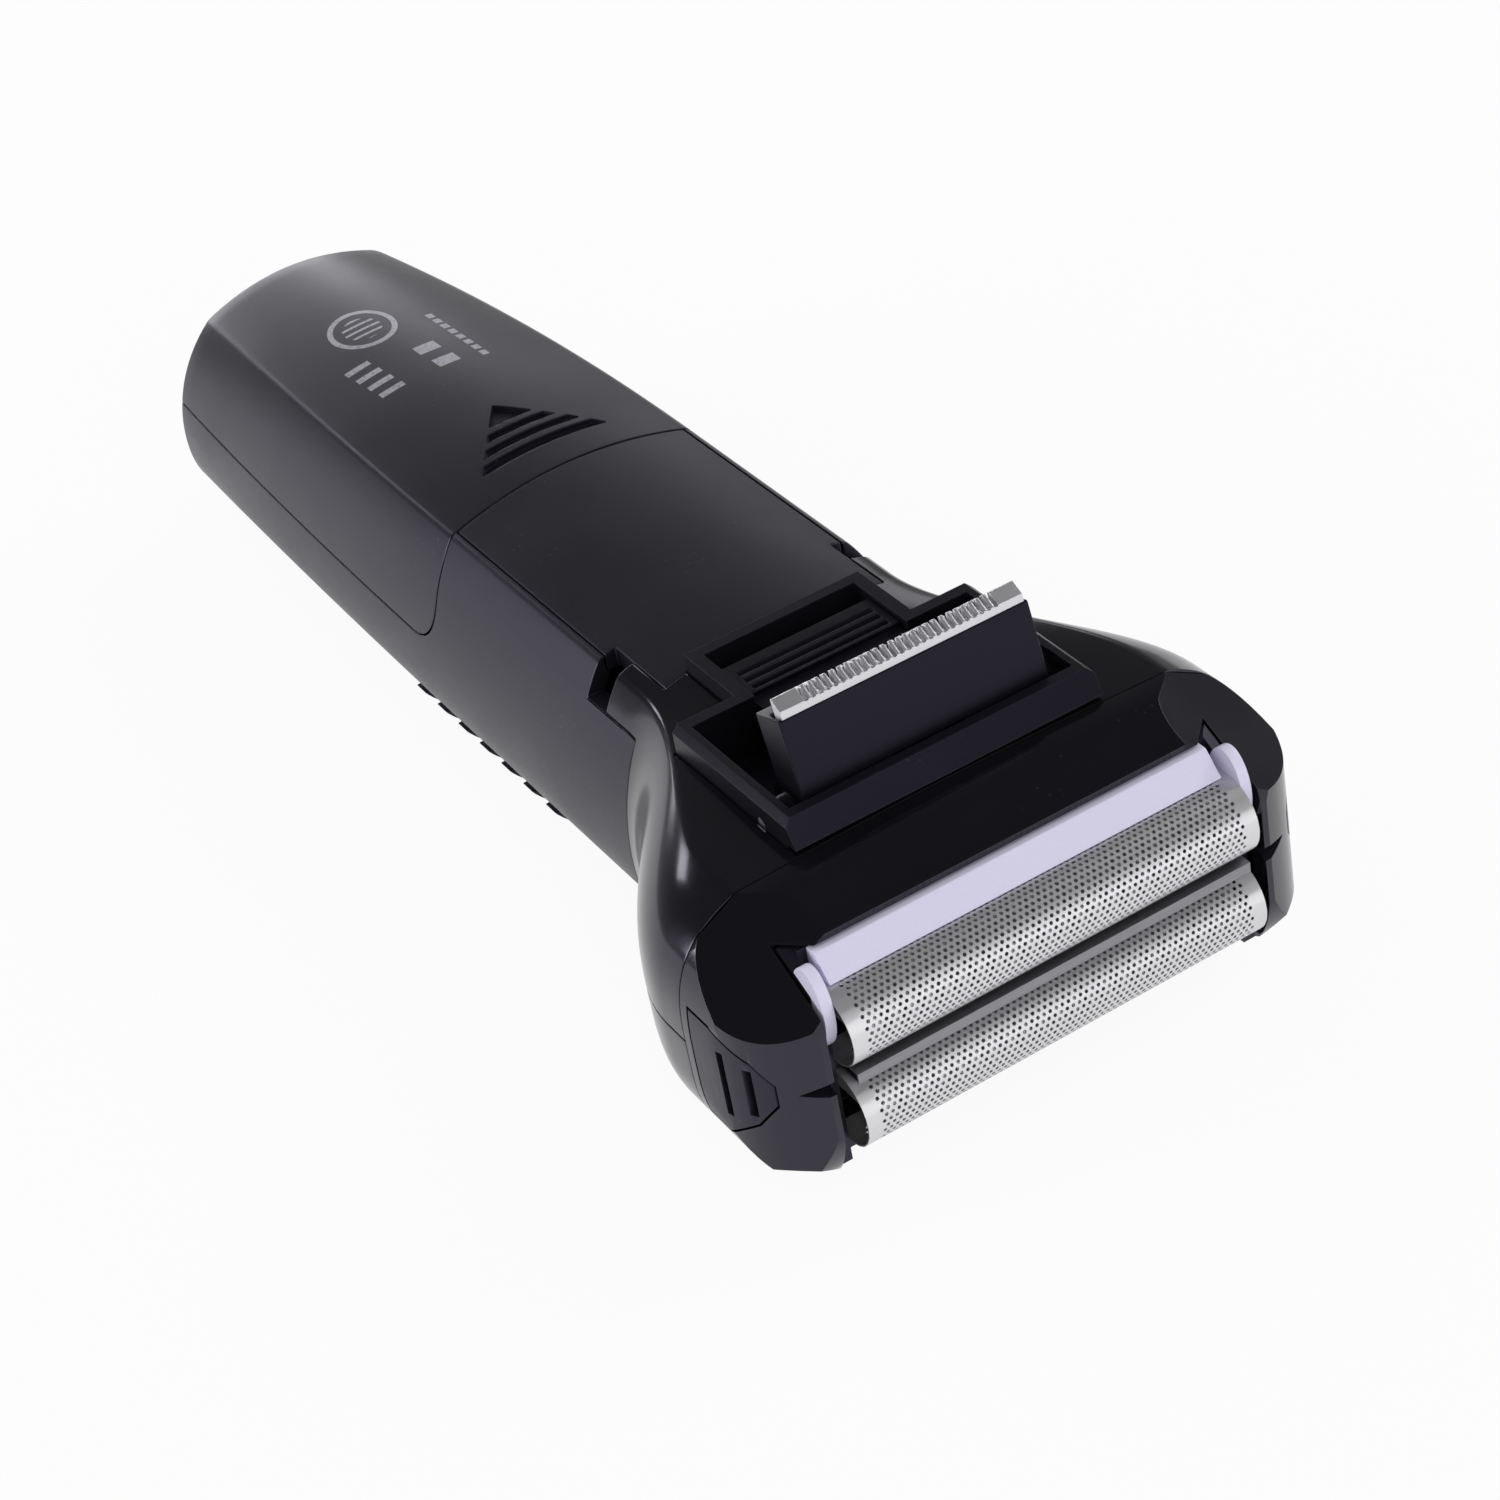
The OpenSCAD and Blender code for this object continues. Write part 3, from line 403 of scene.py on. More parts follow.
def combine(obj, tool, mode):
    """Cuts, joins or intersects obj with a tool, which is then removed."""
    modifier = obj.modifiers.new("combine", "BOOLEAN")
    modifier.operation = mode
    modifier.solver = "EXACT"
    modifier.object = tool
    settle(obj)
    remove(tool)
    return obj


def cut(obj, *tools):
    for tool in tools:
        combine(obj, tool, "DIFFERENCE")
    return obj


def common(obj, *tools):
    for tool in tools:
        combine(obj, tool, "INTERSECT")
    return obj


def join(obj, *tools):
    for tool in tools:
        combine(obj, tool, "UNION")
    return obj


def remove(obj):
    mesh = obj.data
    bpy.data.objects.remove(obj)
    bpy.data.meshes.remove(mesh)


def settle(obj):
    """Applies the modifiers of an object to its mesh."""
    depsgraph = bpy.context.evaluated_depsgraph_get()
    old = obj.data
    mesh = bpy.data.meshes.new_from_object(obj.evaluated_get(depsgraph), depsgraph=depsgraph)
    mesh.name = old.name
    obj.modifiers.clear()
    obj.data = mesh
    bpy.data.meshes.remove(old)
    return obj


def clean(obj, merge=0.004, flat=0.6):
    """Merges vertices nearer than merge and dissolves edges inside flat faces."""
    bm = bmesh.new()
    bm.from_mesh(obj.data)
    bmesh.ops.remove_doubles(bm, verts=bm.verts, dist=merge * MM)
    bmesh.ops.dissolve_degenerate(bm, dist=merge * MM, edges=bm.edges)
    bmesh.ops.dissolve_limit(bm, angle_limit=math.radians(flat), verts=bm.verts, edges=bm.edges)
    bm.to_mesh(obj.data)
    bm.free()
    return obj


def round_edges(obj, width, segments=2, angle=32.0, clamp=True):
    modifier = obj.modifiers.new("round", "BEVEL")
    modifier.width = width
    modifier.segments = segments
    modifier.limit_method = "ANGLE"
    modifier.angle_limit = math.radians(angle)
    modifier.use_clamp_overlap = clamp
    modifier.miter_outer = "MITER_ARC"
    return settle(obj)


def shade(obj, angle=38.0):
    """Smooth shading with sharp edges above the angle, weighted towards the large faces."""
    obj.data.polygons.foreach_set("use_smooth", [True] * len(obj.data.polygons))
    obj.data.set_sharp_from_angle(angle=math.radians(angle))
    modifier = obj.modifiers.new("weight", "WEIGHTED_NORMAL")
    modifier.keep_sharp = True
    modifier.weight = 80
    return settle(obj)


def follow_skin(obj, skin, reach=0.03):
    """Gives the faces of obj that lie on the skin the skin's own smooth normals."""
    source = skin.data
    source.polygons.foreach_set("use_smooth", [True] * len(source.polygons))
    source.calc_loop_triangles()
    points = [v.co for v in source.vertices]
    normals = [v.normal.copy() for v in source.vertices]
    tris = [tuple(t.vertices) for t in source.loop_triangles]
    tree = BVHTree.FromPolygons(points, tris)
    mesh = obj.data
    corner = [n.vector.copy() for n in mesh.corner_normals]
    for polygon in mesh.polygons:
        _, normal, _, distance = tree.find_nearest(polygon.center)
        if distance > reach * MM or normal.dot(polygon.normal) < 0.96:
            continue
        for loop in polygon.loop_indices:
            co = mesh.vertices[mesh.loops[loop].vertex_index].co
            place, _, index, distance = tree.find_nearest(co)
            if distance > reach * MM:
                continue
            corners = tris[index]
            weights = poly_3d_calc([points[i] for i in corners], place)
            blended = sum((normals[i] * w for i, w in zip(corners, weights)), Vector())
            if blended.dot(corner[loop]) > 0.85 * blended.length:
                corner[loop] = blended.normalized()
    mesh.normals_split_custom_set(corner)
    return obj


def copy_of(node, name):
    """New piece with the shape of a frame node, its flat faces made whole."""
    obj = bpy.data.objects.new(name, FRAME["nodes"][node].data.copy())
    obj.data.name = name
    obj.data.materials.clear()
    bpy.context.scene.collection.objects.link(obj)
    return clean(obj, 0.002, 0.4)


def soften(node, name, material, width):
    """Piece with the shape of a frame node and rounded edges, which stands for that node."""
    piece = copy_of(node, name)
    round_edges(piece, width)
    shade(piece)
    seat(piece, material, node)


def seat(obj, material, *nodes):
    """The piece stands for these nodes, rides on their body and takes the material."""
    obj.data.materials.clear()
    obj.data.materials.append(material)
    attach(obj, FRAME["nodes"][nodes[0]]["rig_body"])
    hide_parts(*nodes)
    return obj


def dress(material, *nodes):
    """Frame nodes that keep their own shape take the material."""
    for node in nodes:
        mesh = FRAME["nodes"][node].data
        mesh.materials.clear()
        mesh.materials.append(material)


# ---- node helpers ----
def add(tree, kind, inputs=None, **settings):
    node = tree.nodes.new(kind)
    for key, value in settings.items():
        setattr(node, key, value)
    for key, value in (inputs or {}).items():
        if isinstance(value, bpy.types.NodeSocket):
            tree.links.new(value, node.inputs[key])
        else:
            node.inputs[key].default_value = value
    return node


def maths(tree, operation, a, b=0.0, c=0.0, clamp=False):
    node = add(tree, "ShaderNodeMath", {0: a, 1: b, 2: c}, operation=operation, use_clamp=clamp)
    return node.outputs[0]


def blend_colour(tree, factor, a, b, mode="MIX"):
    node = add(tree, "ShaderNodeMix", data_type="RGBA", blend_type=mode)
    for key, value in ((0, factor), (6, a), (7, b)):
        if isinstance(value, bpy.types.NodeSocket):
            tree.links.new(value, node.inputs[key])
        else:
            node.inputs[key].default_value = value
    return node.outputs[2]


def ramp(tree, factor, stops):
    node = add(tree, "ShaderNodeValToRGB", {"Fac": factor})
    while len(node.color_ramp.elements) < len(stops):
        node.color_ramp.elements.new(0.5)
    for element, (place, value) in zip(node.color_ramp.elements, stops):
        element.position = place
        element.color = (value, value, value, 1)
    return node.outputs["Color"]


def new_group(name, inputs, outputs):
    """Empty shader group with named sockets; gives the tree and its two end nodes."""
    tree = bpy.data.node_groups.new(name, "ShaderNodeTree")
    for socket, kind, value in inputs:
        made = tree.interface.new_socket(name=socket, in_out="INPUT", socket_type=kind)
        if value is not None:
            made.default_value = value
    for socket, kind in outputs:
        tree.interface.new_socket(name=socket, in_out="OUTPUT", socket_type=kind)
    return tree, tree.nodes.new("NodeGroupInput"), tree.nodes.new("NodeGroupOutput")


def built_once(build):
    """A shader group is made on its first use, and found again by its name."""
    def group():
        return bpy.data.node_groups.get(build.__name__) or build()
    return group


FLOAT, VECTOR = "NodeSocketFloat", "NodeSocketVector"


@built_once
def moulded_grain():
    """Fine spark-eroded texture of a moulded surface."""
    tree, start, end = new_group(
        "moulded_grain",
        [("Vector", VECTOR, None), ("Grain Size", FLOAT, 0.0002), ("Depth", FLOAT, 1.0)],
        [("Height", FLOAT), ("Speckle", FLOAT)])
    scale = maths(tree, "DIVIDE", 1.0, start.outputs["Grain Size"])
    fine = add(tree, "ShaderNodeTexNoise",
               {"Vector": start.outputs["Vector"], "Scale": scale, "Detail": 3.0, "Roughness": 0.6})
    cells = add(tree, "ShaderNodeTexVoronoi",
                {"Vector": start.outputs["Vector"], "Scale": maths(tree, "MULTIPLY", scale, 0.6)},
                feature="SMOOTH_F1")
    height = maths(tree, "MULTIPLY_ADD", cells.outputs["Distance"], 0.6, fine.outputs["Fac"])
    tree.links.new(maths(tree, "MULTIPLY", height, start.outputs["Depth"]), end.inputs["Height"])
    speckle = ramp(tree, fine.outputs["Fac"], [(0.35, 0.0), (0.7, 1.0)])
    tree.links.new(speckle, end.inputs["Speckle"])
    return tree


@built_once
def handling():
    """Slow smudges from hands, and sparse dust."""
    tree, start, end = new_group(
        "handling", [("Vector", VECTOR, None), ("Size", FLOAT, 0.02)],
        [("Smudge", FLOAT), ("Dust", FLOAT)])
    scale = maths(tree, "DIVIDE", 1.0, start.outputs["Size"])
    slow = add(tree, "ShaderNodeTexNoise",
               {"Vector": start.outputs["Vector"], "Scale": scale, "Detail": 5.0,
                "Roughness": 0.55, "Distortion": 0.6})
    tree.links.new(ramp(tree, slow.outputs["Fac"], [(0.35, 0.0), (0.68, 1.0)]),
                   end.inputs["Smudge"])
    specks = add(tree, "ShaderNodeTexVoronoi",
                 {"Vector": start.outputs["Vector"], "Scale": 900.0, "Randomness": 1.0})
    patch = add(tree, "ShaderNodeTexNoise",
                {"Vector": start.outputs["Vector"], "Scale": 140.0, "Detail": 2.0})
    dots = maths(tree, "LESS_THAN", specks.outputs["Distance"], 0.11)
    near = maths(tree, "GREATER_THAN", patch.outputs["Fac"], 0.62)
    tree.links.new(maths(tree, "MULTIPLY", dots, near), end.inputs["Dust"])
    return tree


@built_once
def edge_wear_and_highlight():
    """Mask of the outer edges of a piece, used to lighten them partly as real wear and partly as a
    painted highlight.
    """
    tree, start, end = new_group(
        "edge_wear_and_highlight", [("Vector", VECTOR, None), ("Radius", FLOAT, 0.0003), ("Amount", FLOAT, 1.0)],
        [("Mask", FLOAT)])
    rounded = add(tree, "ShaderNodeBevel", {"Radius": start.outputs["Radius"]},
                  samples=bpy.context.scene.shaver_stage.samples_round)
    surface = add(tree, "ShaderNodeNewGeometry")
    dot = add(tree, "ShaderNodeVectorMath",
              {0: rounded.outputs["Normal"], 1: surface.outputs["Normal"]}, operation="DOT_PRODUCT")
    edge = ramp(tree, maths(tree, "SUBTRACT", 1.0, dot.outputs["Value"]),
                [(0.01, 0.0), (0.16, 1.0)])
    breakup = add(tree, "ShaderNodeTexNoise",
                  {"Vector": start.outputs["Vector"], "Scale": 420.0, "Detail": 4.0})
    # Edge mask broken up by noise; it lightens edges partly as wear, partly as a painted highlight.
    worn_and_highlit = maths(tree, "MULTIPLY", edge,
                 ramp(tree, breakup.outputs["Fac"], [(0.38, 0.15), (0.62, 1.0)]))
    tree.links.new(maths(tree, "MULTIPLY", worn_and_highlit, start.outputs["Amount"], clamp=True),
                   end.inputs["Mask"])
    return tree


@built_once
def brushed_lines():
    """Fine parallel grinding lines along X."""
    tree, start, end = new_group(
        "brushed_lines",
        [("Vector", VECTOR, None), ("Spacing", FLOAT, 0.00012), ("Stretch", FLOAT, 0.02)],
        [("Height", FLOAT), ("Line", FLOAT)])
    stretch = add(tree, "ShaderNodeCombineXYZ", {"X": start.outputs["Stretch"], "Y": 1.0, "Z": 1.0})
    moved = add(tree, "ShaderNodeVectorMath",
                {0: start.outputs["Vector"], 1: stretch.outputs["Vector"]}, operation="MULTIPLY")
    lines = add(tree, "ShaderNodeTexNoise",
                {"Vector": moved.outputs["Vector"],
                 "Scale": maths(tree, "DIVIDE", 1.0, start.outputs["Spacing"]),
                 "Detail": 2.0, "Roughness": 0.7})
    tree.links.new(lines.outputs["Fac"], end.inputs["Height"])
    tree.links.new(ramp(tree, lines.outputs["Fac"], [(0.3, 0.0), (0.7, 1.0)]), end.inputs["Line"])
    return tree


def use_group(tree, group, **inputs):
    node = add(tree, "ShaderNodeGroup", node_tree=group)
    for key, value in inputs.items():
        socket = node.inputs[key.replace("_", " ")]
        if isinstance(value, bpy.types.NodeSocket):
            tree.links.new(value, socket)
        else:
            socket.default_value = value
    return node.outputs


# ---- materials ----
def new_material(name):
    material = bpy.data.materials.new(name)
    material.use_nodes = True
    tree = material.node_tree
    tree.nodes.clear()
    shader = tree.nodes.new("ShaderNodeBsdfPrincipled")
    output = tree.nodes.new("ShaderNodeOutputMaterial")
    tree.links.new(shader.outputs["BSDF"], output.inputs["Surface"])
    place = tree.nodes.new("ShaderNodeTexCoord").outputs["Object"]
    return material, tree, shader, place


def rgba(colour, gain=1.0):
    return tuple(min(1.0, c * gain) for c in colour[:3]) + (1.0,)


def plastic(name, colour, rough=0.35, grain=0.00018, depth=0.3, smudge=0.08, wear_and_highlight_amount=0.4,
            coat=0.0, specular=0.5, wear_and_highlight_lift=1.7, vary=0.13, dust=0.12, marks=None):
    """Moulded plastic with a fine grain, handling marks, and edges lightened partly by wear and
    partly as a painted highlight.
    """
    material = bpy.data.materials.get(name)
    if material:
        return material
    material, tree, shader, place = new_material(name)
    texture = use_group(tree, moulded_grain(), Vector=place, Grain_Size=grain, Depth=1.0)
    touch = use_group(tree, handling(), Vector=place, Size=0.018)
    edges = use_group(tree, edge_wear_and_highlight(), Vector=place, Radius=0.00025, Amount=wear_and_highlight_amount)
    base = blend_colour(tree, texture["Speckle"], rgba(colour, 1 - vary),
                        rgba(colour, 1 + vary))
    base = blend_colour(tree, maths(tree, "MULTIPLY", touch["Smudge"], 0.35), base,
                        rgba(colour, 1 + 2 * vary))
    # Outer edges lightened: partly real wear, partly a painted highlight.
    base = blend_colour(tree, edges["Mask"], base, rgba([c * wear_and_highlight_lift + 0.012 for c in colour]))
    base = blend_colour(tree, maths(tree, "MULTIPLY", touch["Dust"], dust), base,
                        (0.30, 0.30, 0.32, 1))
    if marks:
        base = blend_colour(tree, maths(tree, "MULTIPLY", marks(tree, place), 0.85), base,
                            rgba(colours().marks))
    tree.links.new(base, shader.inputs["Base Color"])
    roughness = maths(tree, "MULTIPLY_ADD", touch["Smudge"], smudge, rough)
    roughness = maths(tree, "MULTIPLY_ADD", edges["Mask"], -0.06, roughness)
    roughness = maths(tree, "MULTIPLY_ADD", texture["Speckle"], 0.04, roughness, clamp=True)
    tree.links.new(roughness, shader.inputs["Roughness"])
    bump = add(tree, "ShaderNodeBump",
               {"Strength": depth, "Distance": 0.00004, "Height": texture["Height"]})
    tree.links.new(bump.outputs["Normal"], shader.inputs["Normal"])
    shader.inputs["Specular IOR Level"].default_value = specular
    shader.inputs["Specular Tint"].default_value = (0.74, 0.68, 1.0, 1.0)
    shader.inputs["Coat Weight"].default_value = coat
    shader.inputs["Coat Roughness"].default_value = 0.08
    return material


def metal(name, colour, rough=0.25, spacing=0.00012, stretch=0.02, depth=0.25, stain=0.12,
          vary=0.1):
    """Ground or rolled metal with fine lines, slight stains, and edges brightened partly by wear
    and partly as a painted highlight.
    """
    material = bpy.data.materials.get(name)
    if material:
        return material
    material, tree, shader, place = new_material(name)
    lines = use_group(tree, brushed_lines(), Vector=place, Spacing=spacing, Stretch=stretch)
    touch = use_group(tree, handling(), Vector=place, Size=0.012)
    edges = use_group(tree, edge_wear_and_highlight(), Vector=place, Radius=0.00012, Amount=0.8)
    base = blend_colour(tree, lines["Line"], rgba(colour, 1 - vary), rgba(colour, 1 + vary))
    base = blend_colour(tree, maths(tree, "MULTIPLY", touch["Smudge"], stain), base,
                        rgba([c * k for c, k in zip(colour, (0.80, 0.77, 0.72))]))
    # Edges brightened: partly real wear, partly a painted highlight.
    base = blend_colour(tree, edges["Mask"], base, rgba(colour, 1.25))
    tree.links.new(base, shader.inputs["Base Color"])
    roughness = maths(tree, "MULTIPLY_ADD", lines["Line"], 0.08, rough - 0.04)
    roughness = maths(tree, "MULTIPLY_ADD", touch["Smudge"], 0.06, roughness, clamp=True)
    tree.links.new(roughness, shader.inputs["Roughness"])
    bump = add(tree, "ShaderNodeBump",
               {"Strength": depth, "Distance": 0.00002, "Height": lines["Height"]})
    tree.links.new(bump.outputs["Normal"], shader.inputs["Normal"])
    shader.inputs["Metallic"].default_value = 1.0
    return material


def satin_plastic():
    return plastic("satin_plastic", colours().satin, rough=0.30, depth=0.16, smudge=0.06)


def gloss_plastic():
    return plastic("gloss_plastic", colours().gloss, rough=0.11, depth=0.03, smudge=0.05,
                   wear_and_highlight_amount=0.25, coat=0.3, dust=0.04)


def soft_plastic():
    return plastic("soft_plastic", colours().grip, rough=0.48, grain=0.00026, depth=0.6, smudge=0.1)


def frame_plastic():
    # Edges lightened strongly: a painted highlight along the rims, partly wear.
    return plastic("frame_plastic", colours().satin, rough=0.30, depth=0.12, smudge=0.05, wear_and_highlight_amount=0.7,
                   specular=0.22, wear_and_highlight_lift=2.6, dust=0.05)


def ivory_plastic():
    return plastic("ivory_plastic", colours().ivory, rough=0.42, depth=0.25, wear_and_highlight_lift=1.1, wear_and_highlight_amount=0.3)


def inner_plastic():
    return plastic("inner_plastic", (0.05, 0.05, 0.055), rough=0.5, depth=0.4)


def guard_plastic():
    return plastic("guard_plastic", colours().guard, rough=0.28, depth=0.1, smudge=0.08, wear_and_highlight_amount=0.5,
                   wear_and_highlight_lift=1.05, vary=0.02, dust=0.05)


def blade_steel():
    return metal("blade_steel", colours().steel, rough=0.22, stain=0.06, vary=0.05)


def foil_steel():
    return metal("foil_steel", colours().steel, rough=0.17, spacing=0.0001, stretch=0.1, depth=0.1,
                 stain=0.06, vary=0.04)


def dark_steel():
    return metal("dark_steel", (0.30, 0.30, 0.32), rough=0.3)


def plated_steel():
    return metal("plated_steel", (0.66, 0.65, 0.62), rough=0.16, spacing=0.0002, depth=0.12)


def motor_steel():
    return metal("motor_steel", (0.52, 0.52, 0.55), rough=0.32, spacing=0.00018, depth=0.3)


RING_X, RING_Y = -1.7, 52.3
RING_RX, RING_RY = 3.5, 4.7
STRIPES_PER_METRE = 700.0


def printed_marks(tree, place):
    """Plain ring, bars and dashes printed on the cover; they spell nothing."""
    parts = add(tree, "ShaderNodeSeparateXYZ", {"Vector": place})
    x, y = parts.outputs["X"], parts.outputs["Y"]

    def span(value, centre, half):
        away = maths(tree, "ABSOLUTE", maths(tree, "SUBTRACT", value, centre * MM))
        return maths(tree, "LESS_THAN", away, half * MM)

    def bar(cx, cy, hx, hy):
        return maths(tree, "MULTIPLY", span(x, cx, hx), span(y, cy, hy))

    dx = maths(tree, "DIVIDE", maths(tree, "SUBTRACT", x, RING_X * MM), RING_RX * MM)
    dy = maths(tree, "DIVIDE", maths(tree, "SUBTRACT", y, RING_Y * MM), RING_RY * MM)
    square = maths(tree, "MULTIPLY_ADD", dx, dx, maths(tree, "MULTIPLY", dy, dy))
    radius = maths(tree, "SQRT", square)
    off_ring = maths(tree, "ABSOLUTE", maths(tree, "SUBTRACT", radius, 1.0))
    ring_mask = maths(tree, "LESS_THAN", off_ring, 0.09)
    inside = maths(tree, "LESS_THAN", radius, 0.62)
    phase = maths(tree, "FRACT", maths(tree, "MULTIPLY", y, STRIPES_PER_METRE))
    off_stripe = maths(tree, "ABSOLUTE", maths(tree, "SUBTRACT", phase, 0.5))
    stripes = maths(tree, "LESS_THAN", off_stripe, 0.17)
    masks = [ring_mask, maths(tree, "MULTIPLY", inside, stripes)]
    masks += [bar(-6.2 + 0.15 * i, 44.4 - 2.6 * i, 1.5, 0.55) for i in range(4)]
    masks += [bar(1.2, 41.6, 1.3, 1.1), bar(1.4, 37.2, 1.3, 1.1)]
    masks += [bar(5.4, 49.2 - 1.9 * i, 0.42, 0.62) for i in range(8)]
    total = masks[0]
    for mask in masks[1:]:
        total = maths(tree, "MAXIMUM", total, mask)
    facing = add(tree, "ShaderNodeSeparateXYZ",
                 {"Vector": add(tree, "ShaderNodeNewGeometry").outputs["True Normal"]})
    upwards = maths(tree, "GREATER_THAN", facing.outputs["Z"], 0.6)
    ink = add(tree, "ShaderNodeTexNoise", {"Vector": place, "Scale": 2600.0, "Detail": 2.0})
    thin = ramp(tree, ink.outputs["Fac"], [(0.3, 0.55), (0.55, 1.0)])
    return maths(tree, "MULTIPLY", maths(tree, "MULTIPLY", total, upwards), thin)


def cover_plastic():
    return plastic("cover_plastic", colours().satin, rough=0.28, depth=0.14, smudge=0.06,
                   marks=printed_marks)


# ---- cutting shapes of the body ----
def cover_zone(gap=0.0):
    corner = 5.0
    y, z = COVER_Y + gap, SPLIT_Z + gap
    outline = [(FAR, z), (FAR, 2 * BACK_Z), (y, 2 * BACK_Z)]
    outline += arc_points((y + corner, z + corner), corner, 180, 270)
    return prism("cover_zone", outline, 0, -FAR, FAR)


def panel_zone(gap=0.0, shift=0.0):
    x = PANEL_W / 2 + gap
    return block("panel_zone", (-x, NECK_Y - 1 + shift, BACK_Z - PANEL_T - gap),
                 (x, COVER_Y + 1 + shift, 2 * BACK_Z))


def notch_zones(start, end, gap=0.0):
    zones = []
    for side in (-1, 1):
        x0, x1 = outward(side, NOTCH_X - gap)
        zones.append(block("notch_zone", (x0, start, NOTCH_Z - gap), (x1, end, 2 * BACK_Z)))
    return zones


def grip_zone(gap=0.0):
    return block("grip_zone", (-FAR, GRIP[0] - gap, BELOW), (FAR, GRIP[1] + gap, GRIP_Z + gap))


def grip_bed():
    return skin_part("grip_bed", GRIP_T, GRIP[0] - 1, GRIP[1] + 1, 16)


def frame_zones(gap):
    """Room for the trimmer's frame in the head and the back panel."""
    lo, hi = low("trimmer_frame"), high("trimmer_frame")
    slot_x = SLIDE_X + RIM_T + gap
    bay_back = SEAM_Y + BAY_START + BAY_LEN
    wide = block("frame_zone", (lo[0] - gap, SEAM_Y + 1.8 - gap, lo[2] - gap),
                 (hi[0] + gap, bay_back + RIM_T + gap, 2 * BACK_Z))
    narrow = block("frame_zone", (-slot_x, bay_back, BACK_Z - 1.5 - gap),
                   (slot_x, hi[1] + gap, 2 * BACK_Z))
    return [wide, narrow]


def head_front_zone(gap=0.0):
    corner = 6.0
    y, z = SEAM_Y + HEAD_FRONT_LEN - gap, HEAD_FRONT_Z - gap
    outline = [(-FAR, z), (-FAR, -FAR), (y, -FAR)]
    outline += arc_points((y - corner, z - corner), corner, 0, 90)
    return prism("front_zone", outline, 0, -FAR, FAR)


def finish_shell(obj, skin, width, *hollows):
    """Hollows the piece, rounds its edges and smooths it along the body's skin."""
    cut(obj, *hollows)
    clean(obj, 0.05, 0.15)
    round_edges(obj, width, 2, 34, clamp=False)
    shade(obj, 42)
    follow_skin(obj, skin)
    remove(skin)
    return obj


# ---- operators ----
CAMERA_ANGLES = (-25.4409, 35.4338, -11.0306)
CAMERA_PLACE = (-0.12227, -0.27952, 0.21193)
FLOOR_DROP = 0.00002


